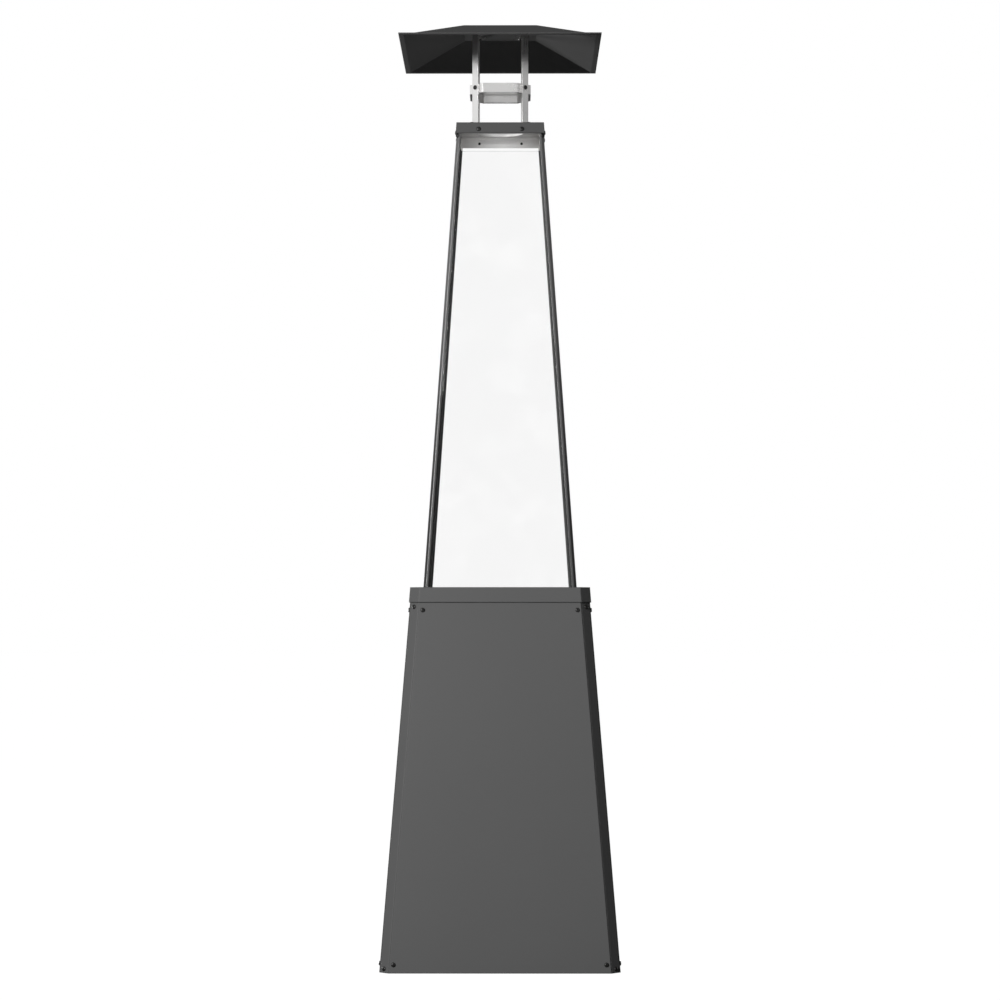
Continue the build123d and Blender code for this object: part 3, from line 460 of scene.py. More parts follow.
@dataclass(frozen=True)
class SatinSteel(Finish):
    """Dark satin steel of the tower's posts, whose long folds are slightly wavy."""

    level: float = 0.125
    rough: float = 0.3
    lines: Pattern = Pattern(1800.0, stretch=Grain.UPRIGHT.value)
    waves: Pattern = Pattern(1.0, 2.0, 0.4, (3.0, 3.0, 11.0))
    cloud: Pattern = Pattern(30.0, stretch=(1.0, 1.0, 0.25))
    wave_depth: float = 0.0016
    edge: float = 0.0012

    def sockets(self, r: Recipe) -> Sockets:
        """Lays fine brushing over slow waves that run up the post, with a soft cloud in colour and sheen.

        Args:
            r: The material's recipe.

        Returns:
            The shader's values or links.
        """
        lines, waves, cloud = (r.noise(pattern) for pattern in (self.lines, self.waves, self.cloud))
        bent = r.relief(waves, self.wave_depth, self.edge)
        return {
            "Base Color": r.mix(lines * 0.5 + cloud * 0.5, grey(self.level * 0.8), grey(self.level * 1.2)),
            "Metallic": 0.85,
            "Roughness": self.rough - 0.04 + 0.1 * cloud,
            "Normal": r.relief(lines, BRUSH_DEPTH, bent),
        }


@dataclass(frozen=True)
class FlueSteel(Finish):
    """Bright brushed steel frame over the burner, lightened mid-wall as a painted reflection and darkened
    underneath and towards its corners with painted shade.
    """

    # bright is the middle of a wall, lightened as a painted reflection; dull at the corners and the
    # underside's level are painted shade, a little warm.
    bright: float = 0.94
    dull: float = 0.58
    painted_under_shade: float = 0.2
    reach: float = 0.088
    rough: float = 0.27
    cloud: Pattern = Pattern(26.0, 4.0)
    edge: float = 0.0005

    def sockets(self, r: Recipe) -> Sockets:
        """Darkens the steel with painted shade by the distance along each wall from its middle, and where it
        faces down.

        That distance is |x * normal y| + |y * normal x| on an upright wall.

        Args:
            r: The material's recipe.

        Returns:
            The shader's values or links.
        """
        here = r.place()
        facing = r.add("ShaderNodeNewGeometry", result="True Normal")
        x, y = (r.axis(here, name) for name in "XY")
        way_x, way_y, way_z = (r.axis(facing, name) for name in "XYZ")
        along = (abs(x * way_y) + abs(y * way_x)) / self.reach
        cloud = r.noise(self.cloud)
        lines = r.noise(BRUSHING[Grain.LEVEL])
        # Painted shade: darker towards each wall's corners, and darkest on the faces turned down.
        painted_corner_shade = r.clamp(along * along, 0.75 + 0.5 * cloud)
        wall = r.mix(painted_corner_shade, grey(self.bright, 0.006), grey(self.dull, 0.02))
        return {
            "Base Color": r.mix(way_z < -0.5, wall, grey(self.painted_under_shade, 0.03)),
            "Metallic": 1.0,
            "Roughness": self.rough + 0.08 * cloud,
            "Normal": r.relief(lines, BRUSH_DEPTH, self.edge),
        }


@dataclass(frozen=True)
class Mottled(Finish):
    """A finish whose colour and sheen follow one soft pattern, and its relief another."""

    rough: float = 0.5
    dulled: float = 0.15
    metal: float = 0.0
    gloss: float = 0.5
    cloud: Pattern = Pattern(600.0)
    grain: Pattern = Pattern(600.0)
    depth: float = 0.00001
    edge: float = 0.0002

    def tone(self, r: Recipe) -> Signal:
        """Value from 0 to 1 that the colour and the sheen follow."""
        return r.noise(self.cloud)

    def colour(self, r: Recipe, tone: Signal) -> Signal:
        """Colour where the tone is given."""
        raise NotImplementedError

    def sockets(self, r: Recipe) -> Sockets:
        """Makes the surface duller, by a set share, as the tone goes from 0 to 1.

        Args:
            r: The material's recipe.

        Returns:
            The shader's values or links.
        """
        tone = self.tone(r)
        return {
            "Base Color": self.colour(r, tone),
            "Metallic": self.metal,
            "Roughness": self.rough + self.dulled * tone,
            "Specular IOR Level": self.gloss,
            "Normal": r.relief(r.noise(self.grain), self.depth, self.edge),
        }


@dataclass(frozen=True)
class Ink(Mottled):
    """Printed marks: matt white ink, a little thin in places."""

    cloud: Pattern = Pattern(1800.0)
    grain: Pattern = Pattern(1800.0)
    edge: float = 0.0
    level: float = 0.72

    def colour(self, r: Recipe, tone: Signal) -> Signal:
        """White that thins out in fine specks."""
        return r.mix(tone, grey(self.level * 0.8), grey(self.level))


@dataclass(frozen=True)
class Galvanised(Mottled):
    """Zinc-dipped sheet with large faint crystals, each with its own shade and sheen."""

    rough: float = 0.34
    dulled: float = 0.16
    metal: float = 0.85
    cloud: Pattern = Pattern(35.0, 4.0)
    grain: Pattern = Pattern(700.0, 2.0)
    depth: float = 0.00002
    edge: float = 0.0004
    level: float = 0.42
    crystals: float = 90.0

    def tone(self, r: Recipe) -> Signal:
        """Shade of each crystal, broken up with noise.

        Args:
            r: The material's recipe.

        Returns:
            Value from 0 to 1.
        """
        cells = {"Vector": r.place(), "Scale": self.crystals}
        crystal = r.add("ShaderNodeTexVoronoi", {"feature": "F1"}, cells, "Color")
        return r.add("ShaderNodeRGBToBW", {}, {"Color": crystal}) * 0.6 + r.noise(self.cloud) * 0.4

    def colour(self, r: Recipe, tone: Signal) -> Signal:
        """Cool grey, brighter with the tone."""
        return r.mix(tone, grey(self.level * 0.82, -0.015), grey(self.level * 1.12, -0.01))


@dataclass(frozen=True)
class BlackSteel(Mottled):
    """Blackened steel of screws and hinges, rubbed a little thin in places."""

    rough: float = 0.32
    dulled: float = 0.14
    metal: float = 0.55
    cloud: Pattern = Pattern(260.0, 4.0)
    grain: Pattern = Pattern(1500.0, 2.0)
    depth: float = 0.00002
    level: float = 0.022

    def colour(self, r: Recipe, tone: Signal) -> Signal:
        """Near black, paler and warmer with the tone."""
        return r.mix(tone, grey(self.level * 0.7), grey(self.level * 1.5, 0.02))


@dataclass(frozen=True)
class TurnedMetal(Mottled):
    """Drawn or turned metal: clouds of light tarnish over fine tool marks that run round in level rings."""

    rough: float = 0.25
    dulled: float = 0.18
    metal: float = 1.0
    cloud: Pattern = Pattern(55.0, 5.0, 0.6)
    grain: Pattern = Pattern(3200.0, 2.0, stretch=(0.2, 0.2, 1.0))
    depth: float = 0.00002
    edge: float = 0.0003
    bright: Triple = (0.78, 0.56, 0.25)
    dull: Triple = (0.5, 0.34, 0.14)

    def colour(self, r: Recipe, tone: Signal) -> Signal:
        """Bright metal that tarnishes with the tone."""
        return r.mix(tone, (*self.bright, 1.0), (*self.dull, 1.0))


@dataclass(frozen=True)
class HeatedSteel(Mottled):
    """Burner steel that straw and blue heat tints run over."""

    rough: float = 0.36
    dulled: float = 0.16
    metal: float = 0.95
    cloud: Pattern = Pattern(40.0, 4.0)
    grain: Pattern = Pattern(900.0)
    depth: float = 0.00003
    edge: float = 0.0004
    low: float = 0.86
    high: float = 0.91
    tints: tuple[tuple[float, Colour], ...] = (
        (0.0, (0.42, 0.41, 0.4, 1.0)),
        (0.45, (0.40, 0.32, 0.2, 1.0)),
        (0.72, (0.26, 0.17, 0.2, 1.0)),
        (1.0, (0.15, 0.18, 0.27, 1.0)),
    )

    def colour(self, r: Recipe, tone: Signal) -> Signal:
        """Tint looked up by the height between two levels, shaken with the tone."""
        heat = (r.axis(r.place(), "Z") - self.low) / (self.high - self.low) + (tone - 0.5) * 0.6
        return r.add("ShaderNodeValToRGB", {"stops": self.tints}, {"Fac": heat})


@dataclass(frozen=True)
class Moulded(Mottled):
    """Moulded plastic or rubber with a fine spark-eroded grain."""

    rough: float = 0.4
    dulled: float = 0.1
    cloud: Pattern = Pattern(2200.0, 2.0)
    grain: Pattern = Pattern(2200.0, 2.0)
    depth: float = 0.00004
    edge: float = 0.0006
    drift: Pattern = Pattern(30.0)
    plain: Triple = (0.02, 0.02, 0.021)

    def colour(self, r: Recipe, tone: Signal) -> Signal:
        """Plain colour with a slow drift to a slightly paler one."""
        light = tuple(min(1.0, c * 1.2 + 0.002) for c in self.plain)
        return r.mix(r.noise(self.drift), (*self.plain, 1.0), (*light, 1.0))


@dataclass(frozen=True)
class Ceramic(Mottled):
    """Glazed ceramic of the spark electrode's sleeve, over its lead's silicone."""

    rough: float = 0.28
    dulled: float = 0.12
    sleeve_from: float = 0.86

    def colour(self, r: Recipe, tone: Signal) -> Signal:
        """White above the sleeve's foot, and red-brown silicone below it.

        Args:
            r: The material's recipe.
            tone: Value from 0 to 1 that both colours follow.

        Returns:
            The colour.
        """
        white = r.mix(tone, (0.74, 0.72, 0.67, 1.0), (0.82, 0.8, 0.76, 1.0))
        silicone = r.mix(tone, (0.20, 0.035, 0.02, 1.0), (0.26, 0.05, 0.03, 1.0))
        return r.mix(r.axis(r.place(), "Z") > self.sleeve_from, silicone, white)


@dataclass(frozen=True)
class PaneGlass(Finish):
    """Clear heat-proof glass with a faint grey tint, wiped in patches, which mirrors at a slant."""

    haze: float = 0.0135
    mirror: float = 0.5
    tint: Colour = (0.1, 0.105, 0.102, 1.0)
    cloud: Pattern = Pattern(9.0, 4.0)
    patch_from: float = 0.52
    patch_to: float = 0.64

    def sockets(self, r: Recipe) -> Sockets:
        """Sets how much of the surface covers what is behind it from the slant and a patchy tint.

        Args:
            r: The material's recipe.

        Returns:
            The shader's values or links.
        """
        cloud = r.noise(self.cloud)
        wiped = {"Value": cloud, "From Min": self.patch_from, "From Max": self.patch_to}
        patch = r.add("ShaderNodeMapRange", {}, wiped)
        slant = r.add("ShaderNodeLayerWeight", {}, {"Blend": 0.25}, "Fresnel")
        return {
            "Base Color": self.tint,
            "Roughness": 0.04 + 0.03 * cloud,
            "Specular IOR Level": 1.0,
            "Alpha": slant * self.mirror + self.haze * (1.0 - 0.6 * patch),
        }


class Coat(Enum):
    """The heater's finishes, which dress its pieces."""

    CHARCOAL = PowderCoat("charcoal_coat")
    # The cap's coat is a darker copy of the charcoal coat: painted shade.
    CAP = PowderCoat("cap_coat", level=0.059)
    HOOD = PowderCoat("hood_coat", level=0.095, gloss=0.15)
    SATIN_STEEL = SatinSteel("satin_steel")
    FLUE_STEEL = FlueSteel("flue_steel")
    INK = Ink("white_ink")
    # A pale, partly diffuse copy of the brushed steel: a painted reflection of bright surroundings on the
    # outlet's eyelet.
    PAINTED_REFLECTION_STEEL = BrushedSteel("painted_reflection_steel", grain=Grain.LEVEL, level=0.88, rough=0.45, metal=0.3)
    BRUSHED_UPRIGHT = BrushedSteel("brushed_upright", grain=Grain.UPRIGHT)
    BRUSHED_LEVEL = BrushedSteel("brushed_level", grain=Grain.LEVEL)
    ZINC = Galvanised("galvanised")
    BLACK_STEEL = BlackSteel("black_steel")
    HEATED_STEEL = HeatedSteel("heated_steel")
    BRASS = TurnedMetal("brass")
    COPPER = TurnedMetal("copper", bright=(0.72, 0.36, 0.22), dull=(0.38, 0.2, 0.12), rough=0.3)
    ALUMINIUM = TurnedMetal("aluminium", bright=(0.7, 0.7, 0.71), dull=(0.5, 0.5, 0.5), rough=0.35)
    PLASTIC = Moulded("black_plastic")
    RUBBER = Moulded("black_rubber", plain=(0.012, 0.012, 0.012), rough=0.7, gloss=0.3, depth=0.00008)
    BUTTON = Moulded("button_red", plain=(0.3, 0.012, 0.01), rough=0.3)
    ELECTRODE = Ceramic("electrode")
    GLASS = PaneGlass("pane_glass")

    @cache
    def material(self) -> bpy.types.Material:
        """Hands back the finish's material, and builds it the first time."""
        return self.value.make()

    def dress(self, nodes: Sequence[str]) -> None:
        """Gives CAD nodes the finish.

        Args:
            nodes: The nodes' names.
        """
        for node in nodes:
            slots = frame["nodes"][node].data.materials
            slots.clear()
            slots.append(self.material())
            log.info("%s: %s", node, self.value.name)


# Shapes


Surface = tuple[np.ndarray, list[list[int]]]
Values = Union[np.ndarray, Sequence[float], float]


def turns(count: int) -> np.ndarray:
    """Evenly spaced angles of one full turn."""
    return np.arange(count) * 2 * math.pi / count


def rings(radii: Values, turn: Values, heights: Values) -> np.ndarray:
    """Points (r cos t, r sin t, z) of a turned surface, from values that spread over its rows and columns."""
    radii, turn, heights = np.broadcast_arrays(radii, turn, heights)
    return np.stack([radii * np.cos(turn), radii * np.sin(turn), heights], -1)


def lift(outlines: np.ndarray, levels: Values) -> np.ndarray:
    """Flat outlines, one by row, each lifted to its own level."""
    heights = np.broadcast_to(np.reshape(levels, (-1, 1, 1)), (*outlines.shape[:2], 1))
    return np.concatenate([outlines, heights], -1)


def grid_faces(rows: int, columns: int, ring: bool = False) -> np.ndarray:
    """Quads of a grid that closes on itself across its columns, and along its rows where asked.

    The quad at (i, j) joins points i*columns + j, i*columns + j+1, and the same two a row further, with j+1
    wrapped round.

    Args:
        rows: Number of rows of points.
        columns: Number of points in a row.
        ring: True where the last row joins the first.

    Returns:
        The quads, one row each.
    """
    i, j = np.meshgrid(np.arange(rows if ring else rows - 1), np.arange(columns), indexing="ij")
    k = (j + 1) % columns
    m = (i + 1) % rows
    return np.stack([i * columns + j, i * columns + k, m * columns + k, m * columns + j], -1).reshape(-1, 4)


def skin(rows: np.ndarray, ring: bool = False) -> Surface:
    """Closed surface over rows of points, with its faces outward.

    The first and last rows are closed by a point at their middle, unless the rows join in a ring. The volume
    inside is the sum of a . (b x c) / 6 over the triangles a, b, c, and where it is negative the faces turn.

    Args:
        rows: Points by row and column, three numbers each.
        ring: True where the last row joins the first.

    Returns:
        Points, and faces.
    """
    count, columns = rows.shape[:2]
    quads = grid_faces(count, columns, ring)
    points = rows.reshape(-1, 3)
    fans = np.empty((0, 3), dtype=np.int64)
    if not ring:
        j = np.arange(columns)
        k = (j + 1) % columns
        low, last = count * columns, (count - 1) * columns
        points = np.vstack([points, rows[0].mean(axis=0), rows[-1].mean(axis=0)])
        first_fan = np.stack([k, j, np.full(columns, low)], -1)
        last_fan = np.stack([last + j, last + k, np.full(columns, low + 1)], -1)
        fans = np.vstack([first_fan, last_fan])
    a, b, c = points[np.vstack([quads[:, :3], quads[:, [0, 2, 3]], fans])].transpose(1, 0, 2)
    if (a * np.cross(b, c)).sum() < 0:
        quads, fans = quads[:, ::-1], fans[:, ::-1]
    return points, quads.tolist() + fans.tolist()


@dataclass
class Seat:
    """A flat place for a piece: its origin, two directions along it, and the direction out of it."""

    origin: np.ndarray
    across: np.ndarray
    up: np.ndarray
    out: np.ndarray

    @classmethod
    def facing(cls, origin: np.ndarray, out: np.ndarray) -> "Seat":
        """Makes a seat square to a direction, with "up" as near to upright as it can be.

        Args:
            origin: The seat's place.
            out: The direction, of length one.

        Returns:
            The seat.
        """
        across = np.cross(UPRIGHT, out)
        across /= np.linalg.norm(across)
        return cls(origin, across, np.cross(out, across), out)

    @classmethod
    def on_joint(cls, name: str) -> "Seat":
        """Makes a seat at a joint's place, square to its axis."""
        joint = next(j for j in frame["joints"] if j["name"] == name)
        return cls.facing(np.array(joint["pos_m"]), np.array(joint["axis"]) / np.linalg.norm(joint["axis"]))

    def at(self, level: float) -> "Seat":
        """The same seat, moved along its direction out to where out . point is the level."""
        return replace(self, origin=self.origin + self.out * (level - self.origin @ self.out))

    def place(self, surface: Surface) -> Surface:
        """Moves a surface from the seat's own axes into the frame."""
        points, faces = surface
        return self.origin + points @ np.vstack([self.across, self.up, self.out]), faces


def vertices(node: str) -> np.ndarray:
    """Reads the points of a CAD node.

    Args:
        node: The node's name.

    Returns:
        The points, one row each.
    """
    mesh = frame["nodes"][node].data
    points = np.empty(len(mesh.vertices) * 3)
    mesh.vertices.foreach_get("co", points)
    return points.reshape(-1, 3)


def reach(node: str, way: np.ndarray) -> tuple[float, float]:
    """Lowest and highest level of a CAD node along a direction."""
    level = vertices(node) @ way
    return float(level.min()), float(level.max())


def superellipse(half: np.ndarray, columns: int, power: float) -> np.ndarray:
    """Rounded outline with x = a*sgn(cos t)*|cos t|^(2/n) and y = b*sgn(sin t)*|sin t|^(2/n).

    Args:
        half: Half-sizes a and b, by row.
        columns: Number of points round it.
        power: The number n: 2 is an ellipse, more is squarer.

    Returns:
        Points by row and column, two numbers each.
    """
    turn = turns(columns)
    unit = np.stack([np.cos(turn), np.sin(turn)], -1)
    return half[:, None, :] * (np.sign(unit) * np.abs(unit) ** (2 / power))[None]


def add_mesh(name: str, surface: Surface, smooth: bool = True) -> bpy.types.Object:
    """Makes an object at the origin.

    Args:
        name: The object's name.
        surface: Points and faces.
        smooth: True for smooth shading that keeps sharp edges.

    Returns:
        The object.
    """
    points, faces = surface
    mesh = bpy.data.meshes.new(name)
    mesh.from_pydata(points.tolist(), [], faces)
    mesh.update()
    made = bpy.data.objects.new(name, mesh)
    bpy.context.scene.collection.objects.link(made)
    if smooth:
        mesh.polygons.foreach_set("use_smooth", np.ones(len(mesh.polygons), dtype=bool))
        mesh.set_sharp_from_angle(angle=CREASE)
    return made


def add_piece(name: str, parts: Sequence[Surface], like: str, coat: Coat) -> bpy.types.Object:
    """Makes one piece of several closed surfaces, which rides as a CAD node does.

    Args:
        name: The piece's name.
        parts: The surfaces.
        like: The CAD node on whose body it rides.
        coat: Its finish.

    Returns:
        The object.
    """
    starts = np.cumsum([0] + [len(points) for points, _ in parts])
    faces = [[p + int(start) for p in face] for (_, group), start in zip(parts, starts) for face in group]
    made = add_mesh(name, (np.vstack([points for points, _ in parts]), faces))
    made.data.materials.append(coat.material())
    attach(made, body_of(frame["nodes"][like])[0])
    log.info("%s: %d surfaces", name, len(parts))
    return made


def islands(node: str) -> Iterator[tuple[np.ndarray, np.ndarray, np.ndarray]]:
    """Splits a CAD node into its separate solids.

    Points at the same place count as one, and solids are told apart by joining each triangle's points until
    nothing changes: every point takes the lowest label among the triangles that it lies on.

    Args:
        node: The node's name.

    Yields:
        For each solid its triangles' corners, their normals, and twice their areas.
    """
    mesh = frame["nodes"][node].data
    mesh.calc_loop_triangles()
    points = vertices(node)
    triangles = np.empty(len(mesh.loop_triangles) * 3, dtype=np.int64)
    mesh.loop_triangles.foreach_get("vertices", triangles)
    _, same = np.unique(np.round(points, 5), axis=0, return_inverse=True)
    corners = same.reshape(-1)[triangles].reshape(-1, 3)
    label = np.arange(corners.max() + 1)
    while True:
        fresh = label.copy()
        np.minimum.at(fresh, corners, label[corners].min(axis=1)[:, None])
        if np.array_equal(fresh, label):
            break
        label = fresh
    places = points[triangles].reshape(-1, 3, 3)
    areas = np.cross(places[:, 1] - places[:, 0], places[:, 2] - places[:, 0])
    size = np.linalg.norm(areas, axis=1)
    for solid in np.unique(label[corners]):
        own = label[corners[:, 0]] == solid
        yield places[own], areas[own] / size[own, None], size[own]


# Small pieces


@dataclass(frozen=True)
class PanHead:
    """A pan-head screw with a cross recess, and a shank as long as that of the plain screw it stands for."""

    radius: float = 5.5 * MM
    height: float = 3.2 * MM
    rim: float = 0.22
    arm_length: float = 2.7 * MM
    arm_width: float = 1.0 * MM
    depth: float = 1.7 * MM
    shank: float = 2.0 * MM
    spin: float = 0.9
    gap: float = 0.42

    @property
    def tip(self) -> float:
        """Angle from the middle of an arm to the corner at its end."""
        return math.atan2(self.arm_width / 2, self.arm_length)

    def angles(self) -> np.ndarray:
        """Sector angles that fall on the corners of the cross."""
        quarter = np.array([-self.tip, self.tip, self.gap, math.pi / 4, math.pi / 2 - self.gap])
        return (quarter + np.arange(4)[:, None] * math.pi / 2).reshape(-1)

    def cross(self, angle: np.ndarray) -> np.ndarray:
        """Radius of the cross outline.

        In the eighth of a turn next to an arm the outline is the arm's end, length / cos(angle), up to the
        arm's corner, and past it the arm's side, half width / sin(angle).

        Args:
            angle: The angles that it is wanted at.

        Returns:
            The radius at each angle.
        """
        a = np.abs((angle + math.pi / 4) % (math.pi / 2) - math.pi / 4)
        side = self.arm_width / 2 / np.maximum(np.sin(a), TINY)
        return np.where(a <= self.tip + TINY, self.arm_length / np.cos(a), side)

    def crown(self, r: Values) -> Values:
        """Height of the dome at a radius: its rim, and the rest times (1 - (r/R)^4)^0.5."""
        rim = self.rim * self.height
        return rim + (self.height - rim) * np.sqrt(np.clip(1 - (r / self.radius) ** 4, 0, 1))

    def surface(self) -> Surface:
        """Shape of the head on the plane z = 0, pointing up.

        Ring by ring: recess floor, recess mouth, the dome out to its rim, the rim's short wall, the flat
        underside and a shank one metre long, which swap() shortens.

        Returns:
            Points, and faces with outward normals.
        """
        turn = self.angles()
        mouth = self.cross(turn)
        dome = [np.maximum(share * self.radius, mouth * 1.02) for share in (0.58, 0.76, 0.9, 0.97, 1.0)]
        profile = [(mouth * 0.55, self.height - self.depth)]
        profile += [(r, self.crown(r)) for r in (mouth, *dome)]
        profile += [(self.radius, 0.0), (self.shank, 0.0), (self.shank, -1.0)]
        return skin(np.array([rings(r, turn, z) for r, z in profile]))

    def seats(self, node: str) -> Iterator[tuple[np.ndarray, np.ndarray, float]]:
        """Finds the seat, the outward direction and the shank's length of every screw of a CAD node.

        The largest flats give the screw's line, the end with the larger flat is its head, and the head's
        underside is the first level below that flat.

        Args:
            node: The CAD node of the screws.

        Yields:
            The middle of each seat, the direction out of the sheet, and the length below the head.
        """
        for corners, ways, size in islands(node):
            line = ways[int(((ways @ ways.T > ALIKE) * size).sum(axis=1).argmax())]
            ends = []
            for axis in (line, -line):
                level = corners @ axis
                top = level.min(axis=1) > level.max() - 0.01 * MM
                ends.append((size[top].sum(), axis, level, top))
            _, axis, level, top = max(ends, key=lambda end: end[0])
            middle = (corners[top].mean(axis=1) * size[top, None]).sum(axis=0) / size[top].sum()
            below = level[level < level.max() - 0.5 * MM].max()
            yield middle - axis * (level.max() - below), axis, below - level.min()

    def swap(self, node: str) -> None:
        """Puts a head like this on every screw of a CAD node and hides the node.

        Each head is spun a set angle further than the one before, as screws are left in no set direction.

        Args:
            node: The CAD node of the screws.
        """
        shape, faces = self.surface()
        heads = []
        for number, (seat, axis, length) in enumerate(self.seats(node)):
            side = np.cross(axis, [0.3, 0.2, 1.0] if abs(axis[2]) < 0.9 else [1.0, 0.2, 0.0])
            side /= np.linalg.norm(side)
            turn = self.spin * number
            u = math.cos(turn) * side + math.sin(turn) * np.cross(axis, side)
            screw = shape * np.where(shape[:, 2:] < 0, [1.0, 1.0, length], 1.0)
            heads.append(Seat(seat, u, np.cross(axis, u), axis).place((screw, faces)))
        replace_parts(add_piece(node + "_pan_heads", heads, node, Coat.BLACK_STEEL), node)


@dataclass(frozen=True)
class GripKnob:
    """A moulded knob that is turned by hand: a fluted skirt, a low dome and a waisted grip bar across it."""

    node: str
    joint: str
    radius: float
    skirt: float
    height: float
    grip_length: float
    grip_width: float
    shaft: float = 0.0
    hollow: tuple[tuple[float, float], ...] = ()
    flutes: int = 36
    flute: float = 0.55 * MM
    soft: float = 1.8 * MM
    ink: float = 0.15 * MM
    pointer: bool = True

    def turned(self, depth: float) -> np.ndarray:
        """Rings of the shaft or the hollow, the fluted skirt and its dome.

        A ring's radius is r - f * w * (1 + cos(N t)) / 2 at the angle t, with N flutes f deep, where the
        weight w is one on the rim and nought elsewhere.

        Args:
            depth: How far the shaft reaches below the skirt.

        Returns:
            Points by row and column.
        """
        r, h = self.radius, self.skirt
        inner = [(a, z, 0.0) for a, z in self.hollow] or [(self.shaft, -depth, 0.0), (self.shaft, 0.0, 0.0)]
        rim = [(r - 0.7 * MM, 0.0, 0.6), (r, 0.7 * MM, 1.0), (r - 0.4 * MM, h - 1.6 * MM, 1.0)]
        dome = [(r - 1.0 * MM, h - 0.7 * MM, 0.7), (r - 2.2 * MM, h - 0.2 * MM, 0.0), (r * 0.6, h, 0.0)]
        profile = np.array(inner + rim + dome + [(r * 0.2, h, 0.0)])
        turn = turns(self.flutes * 6)
        dip = self.flute * (1 + np.cos(self.flutes * turn)) / 2
        return rings(profile[:, :1] - profile[:, 2:] * dip, turn, profile[:, 1:2])

    def grip(self) -> np.ndarray:
        """Rings of the grip bar, upright, drafted, rounded on top and drawn in at its waist.

        Each ring is a superellipse of power 5 whose width is b * (0.8 + 0.2 * (y/a)^2), and the edge on top
        follows a quarter circle.

        Returns:
            Points by row and column.
        """
        bend = np.linspace(0, math.pi / 2, 5)
        inset = np.concatenate([[0.0], 0.5 * MM + self.soft * (1 - np.cos(bend))])
        levels = np.concatenate([[self.skirt - 1.0 * MM], self.height - self.soft + self.soft * np.sin(bend)])
        half = np.stack([self.grip_width / 2 - inset, self.grip_length / 2 - inset], -1)
        outline = superellipse(half, 64, 5.0)
        along = outline[..., 1] / (self.grip_length / 2)
        outline[..., 0] *= 0.8 + 0.2 * along**2
        return lift(outline, levels)

    def mark(self) -> np.ndarray:
        """Rings of the pointer, a thin pill on the upper half of the grip bar.

        Returns:
            Points by row and column.
        """
        half = np.tile([0.8 * MM, self.grip_length * 0.17], (2, 1))
        pill = superellipse(half, 32, 3.0) + [0.0, self.grip_length * 0.25]
        return lift(pill, (self.height - self.ink, self.height + self.ink))

    def build(self) -> None:
        """Puts the moulded knob in the place of the plain one."""
        seat = Seat.on_joint(self.joint)
        low, high = reach(self.node, seat.out)
        seat = seat.at(high - self.height)
        depth = max(0.0, high - self.height - low)
        shapes = [seat.place(skin(rows)) for rows in (self.turned(depth), self.grip())]
        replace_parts(add_piece(self.node + "_moulding", shapes, self.node, Coat.PLASTIC), self.node)
        if self.pointer:
            add_piece(self.node + "_pointer", [seat.place(skin(self.mark()))], self.node, Coat.INK)


@dataclass(frozen=True)
class DialMarks:
    """Marks printed round the control knob: a tick at off, one for the pilot, a wedge from low to high."""

    inner: float = 26.4 * MM
    outer: float = 31.0 * MM
    thick: float = 0.12 * MM
    narrow: float = 0.8 * MM
    off: float = 90.0
    pilot: float = 135.0
    low: float = 180.0
    high: float = 315.0
    tick: float = 1.7
    step: float = 2.5

    def band(self, start: float, end: float, widths: tuple[float, float]) -> Surface:
        """A flat band along an arc whose width grows evenly.

        The inner edge has radius r and the outer edge r + w, with w going from the first to the second width
        as the angle goes from start to end.

        Args:
            start: First angle in degrees.
            end: Last angle in degrees.
            widths: Width at each end.

        Returns:
            Points, and faces.
        """
        turn = np.radians(np.linspace(start, end, max(3, int(abs(end - start) / self.step))))
        wide = np.linspace(*widths, len(turn))
        radii = self.inner + np.stack([0 * wide, wide, wide, 0 * wide], -1)
        return skin(rings(radii, turn[:, None], [-self.thick, -self.thick, self.thick, self.thick]))

    def build(self) -> None:
        """Prints the marks on the dial plate."""
        seat = Seat.on_joint("knob_turn")
        seat = seat.at(reach("dial_plate", seat.out)[1])
        full = self.outer - self.inner
        bands = [self.band(a - self.tick, a + self.tick, (full, full)) for a in (self.off, self.pilot)]
        bands.append(self.band(self.low, self.high, (self.narrow, full)))
        add_piece("dial_marks", [seat.place(band) for band in bands], "dial_plate", Coat.INK)


@dataclass(frozen=True)
class Rivets:
    """Domed rivet heads that hold a hinge leaf to its sheet."""

    radius: float = 2.7 * MM
    height: float = 1.3 * MM
    sunk: float = 0.2 * MM
    slack: float = 0.2 * MM
    spread: float = 0.3
    aside: float = 0.64

    def head(self) -> Surface:
        """Shape of a head with height h * (1 - (r/R)^2.4), sunk a little into the leaf.

        Returns:
            Points, and faces.
        """
        share = np.array([1.0, 1.0, 0.93, 0.78, 0.55, 0.25])
        level = np.concatenate([[-self.sunk], self.height * (1 - share[1:] ** 2.4)])
        return skin(rings((self.radius * share)[:, None], turns(20), level[:, None]))

    def build(self, node: str) -> None:
        """Sets two rivets on each leaf of a CAD node.

        Each leaf's largest outward flat gives its face. Along the hinge the rivets stand at a share of the
        leaf's length either side of its middle, and across it at a share of its width from the pin.

        Args:
            node: The CAD node of the leaves.
        """
        hinge = Seat.on_joint("door_hinge")
        head, along = self.head(), hinge.out
        placed = []
        for corners, ways, size in islands(node):
            out = ways[int(((ways @ ways.T > ALIKE) @ size * (ways[:, 1] > 0.5)).argmax())]
            level, flat = corners @ out, ways @ out > ALIKE
            face = corners[flat & (level.min(axis=1) > np.median(level[flat]) - self.slack)]
            face = face[(face @ out).max(axis=1) < np.median(face @ out) + self.slack].reshape(-1, 3)
            across = np.cross(out, along)
            side = (face - hinge.origin) @ across
            rise = face @ along
            pin = hinge.origin + across * side[np.abs(side).argmax()] * self.aside
            for end in (-self.spread, self.spread):
                level = (rise.max() + rise.min()) / 2 + end * (rise.max() - rise.min())
                base = pin + along * (level - pin @ along)
                placed.append(Seat(base, across, along, out).at(float(np.median(face @ out))).place(head))
        add_piece(node + "_rivets", placed, node, Coat.BLACK_STEEL)


# Sub-assemblies


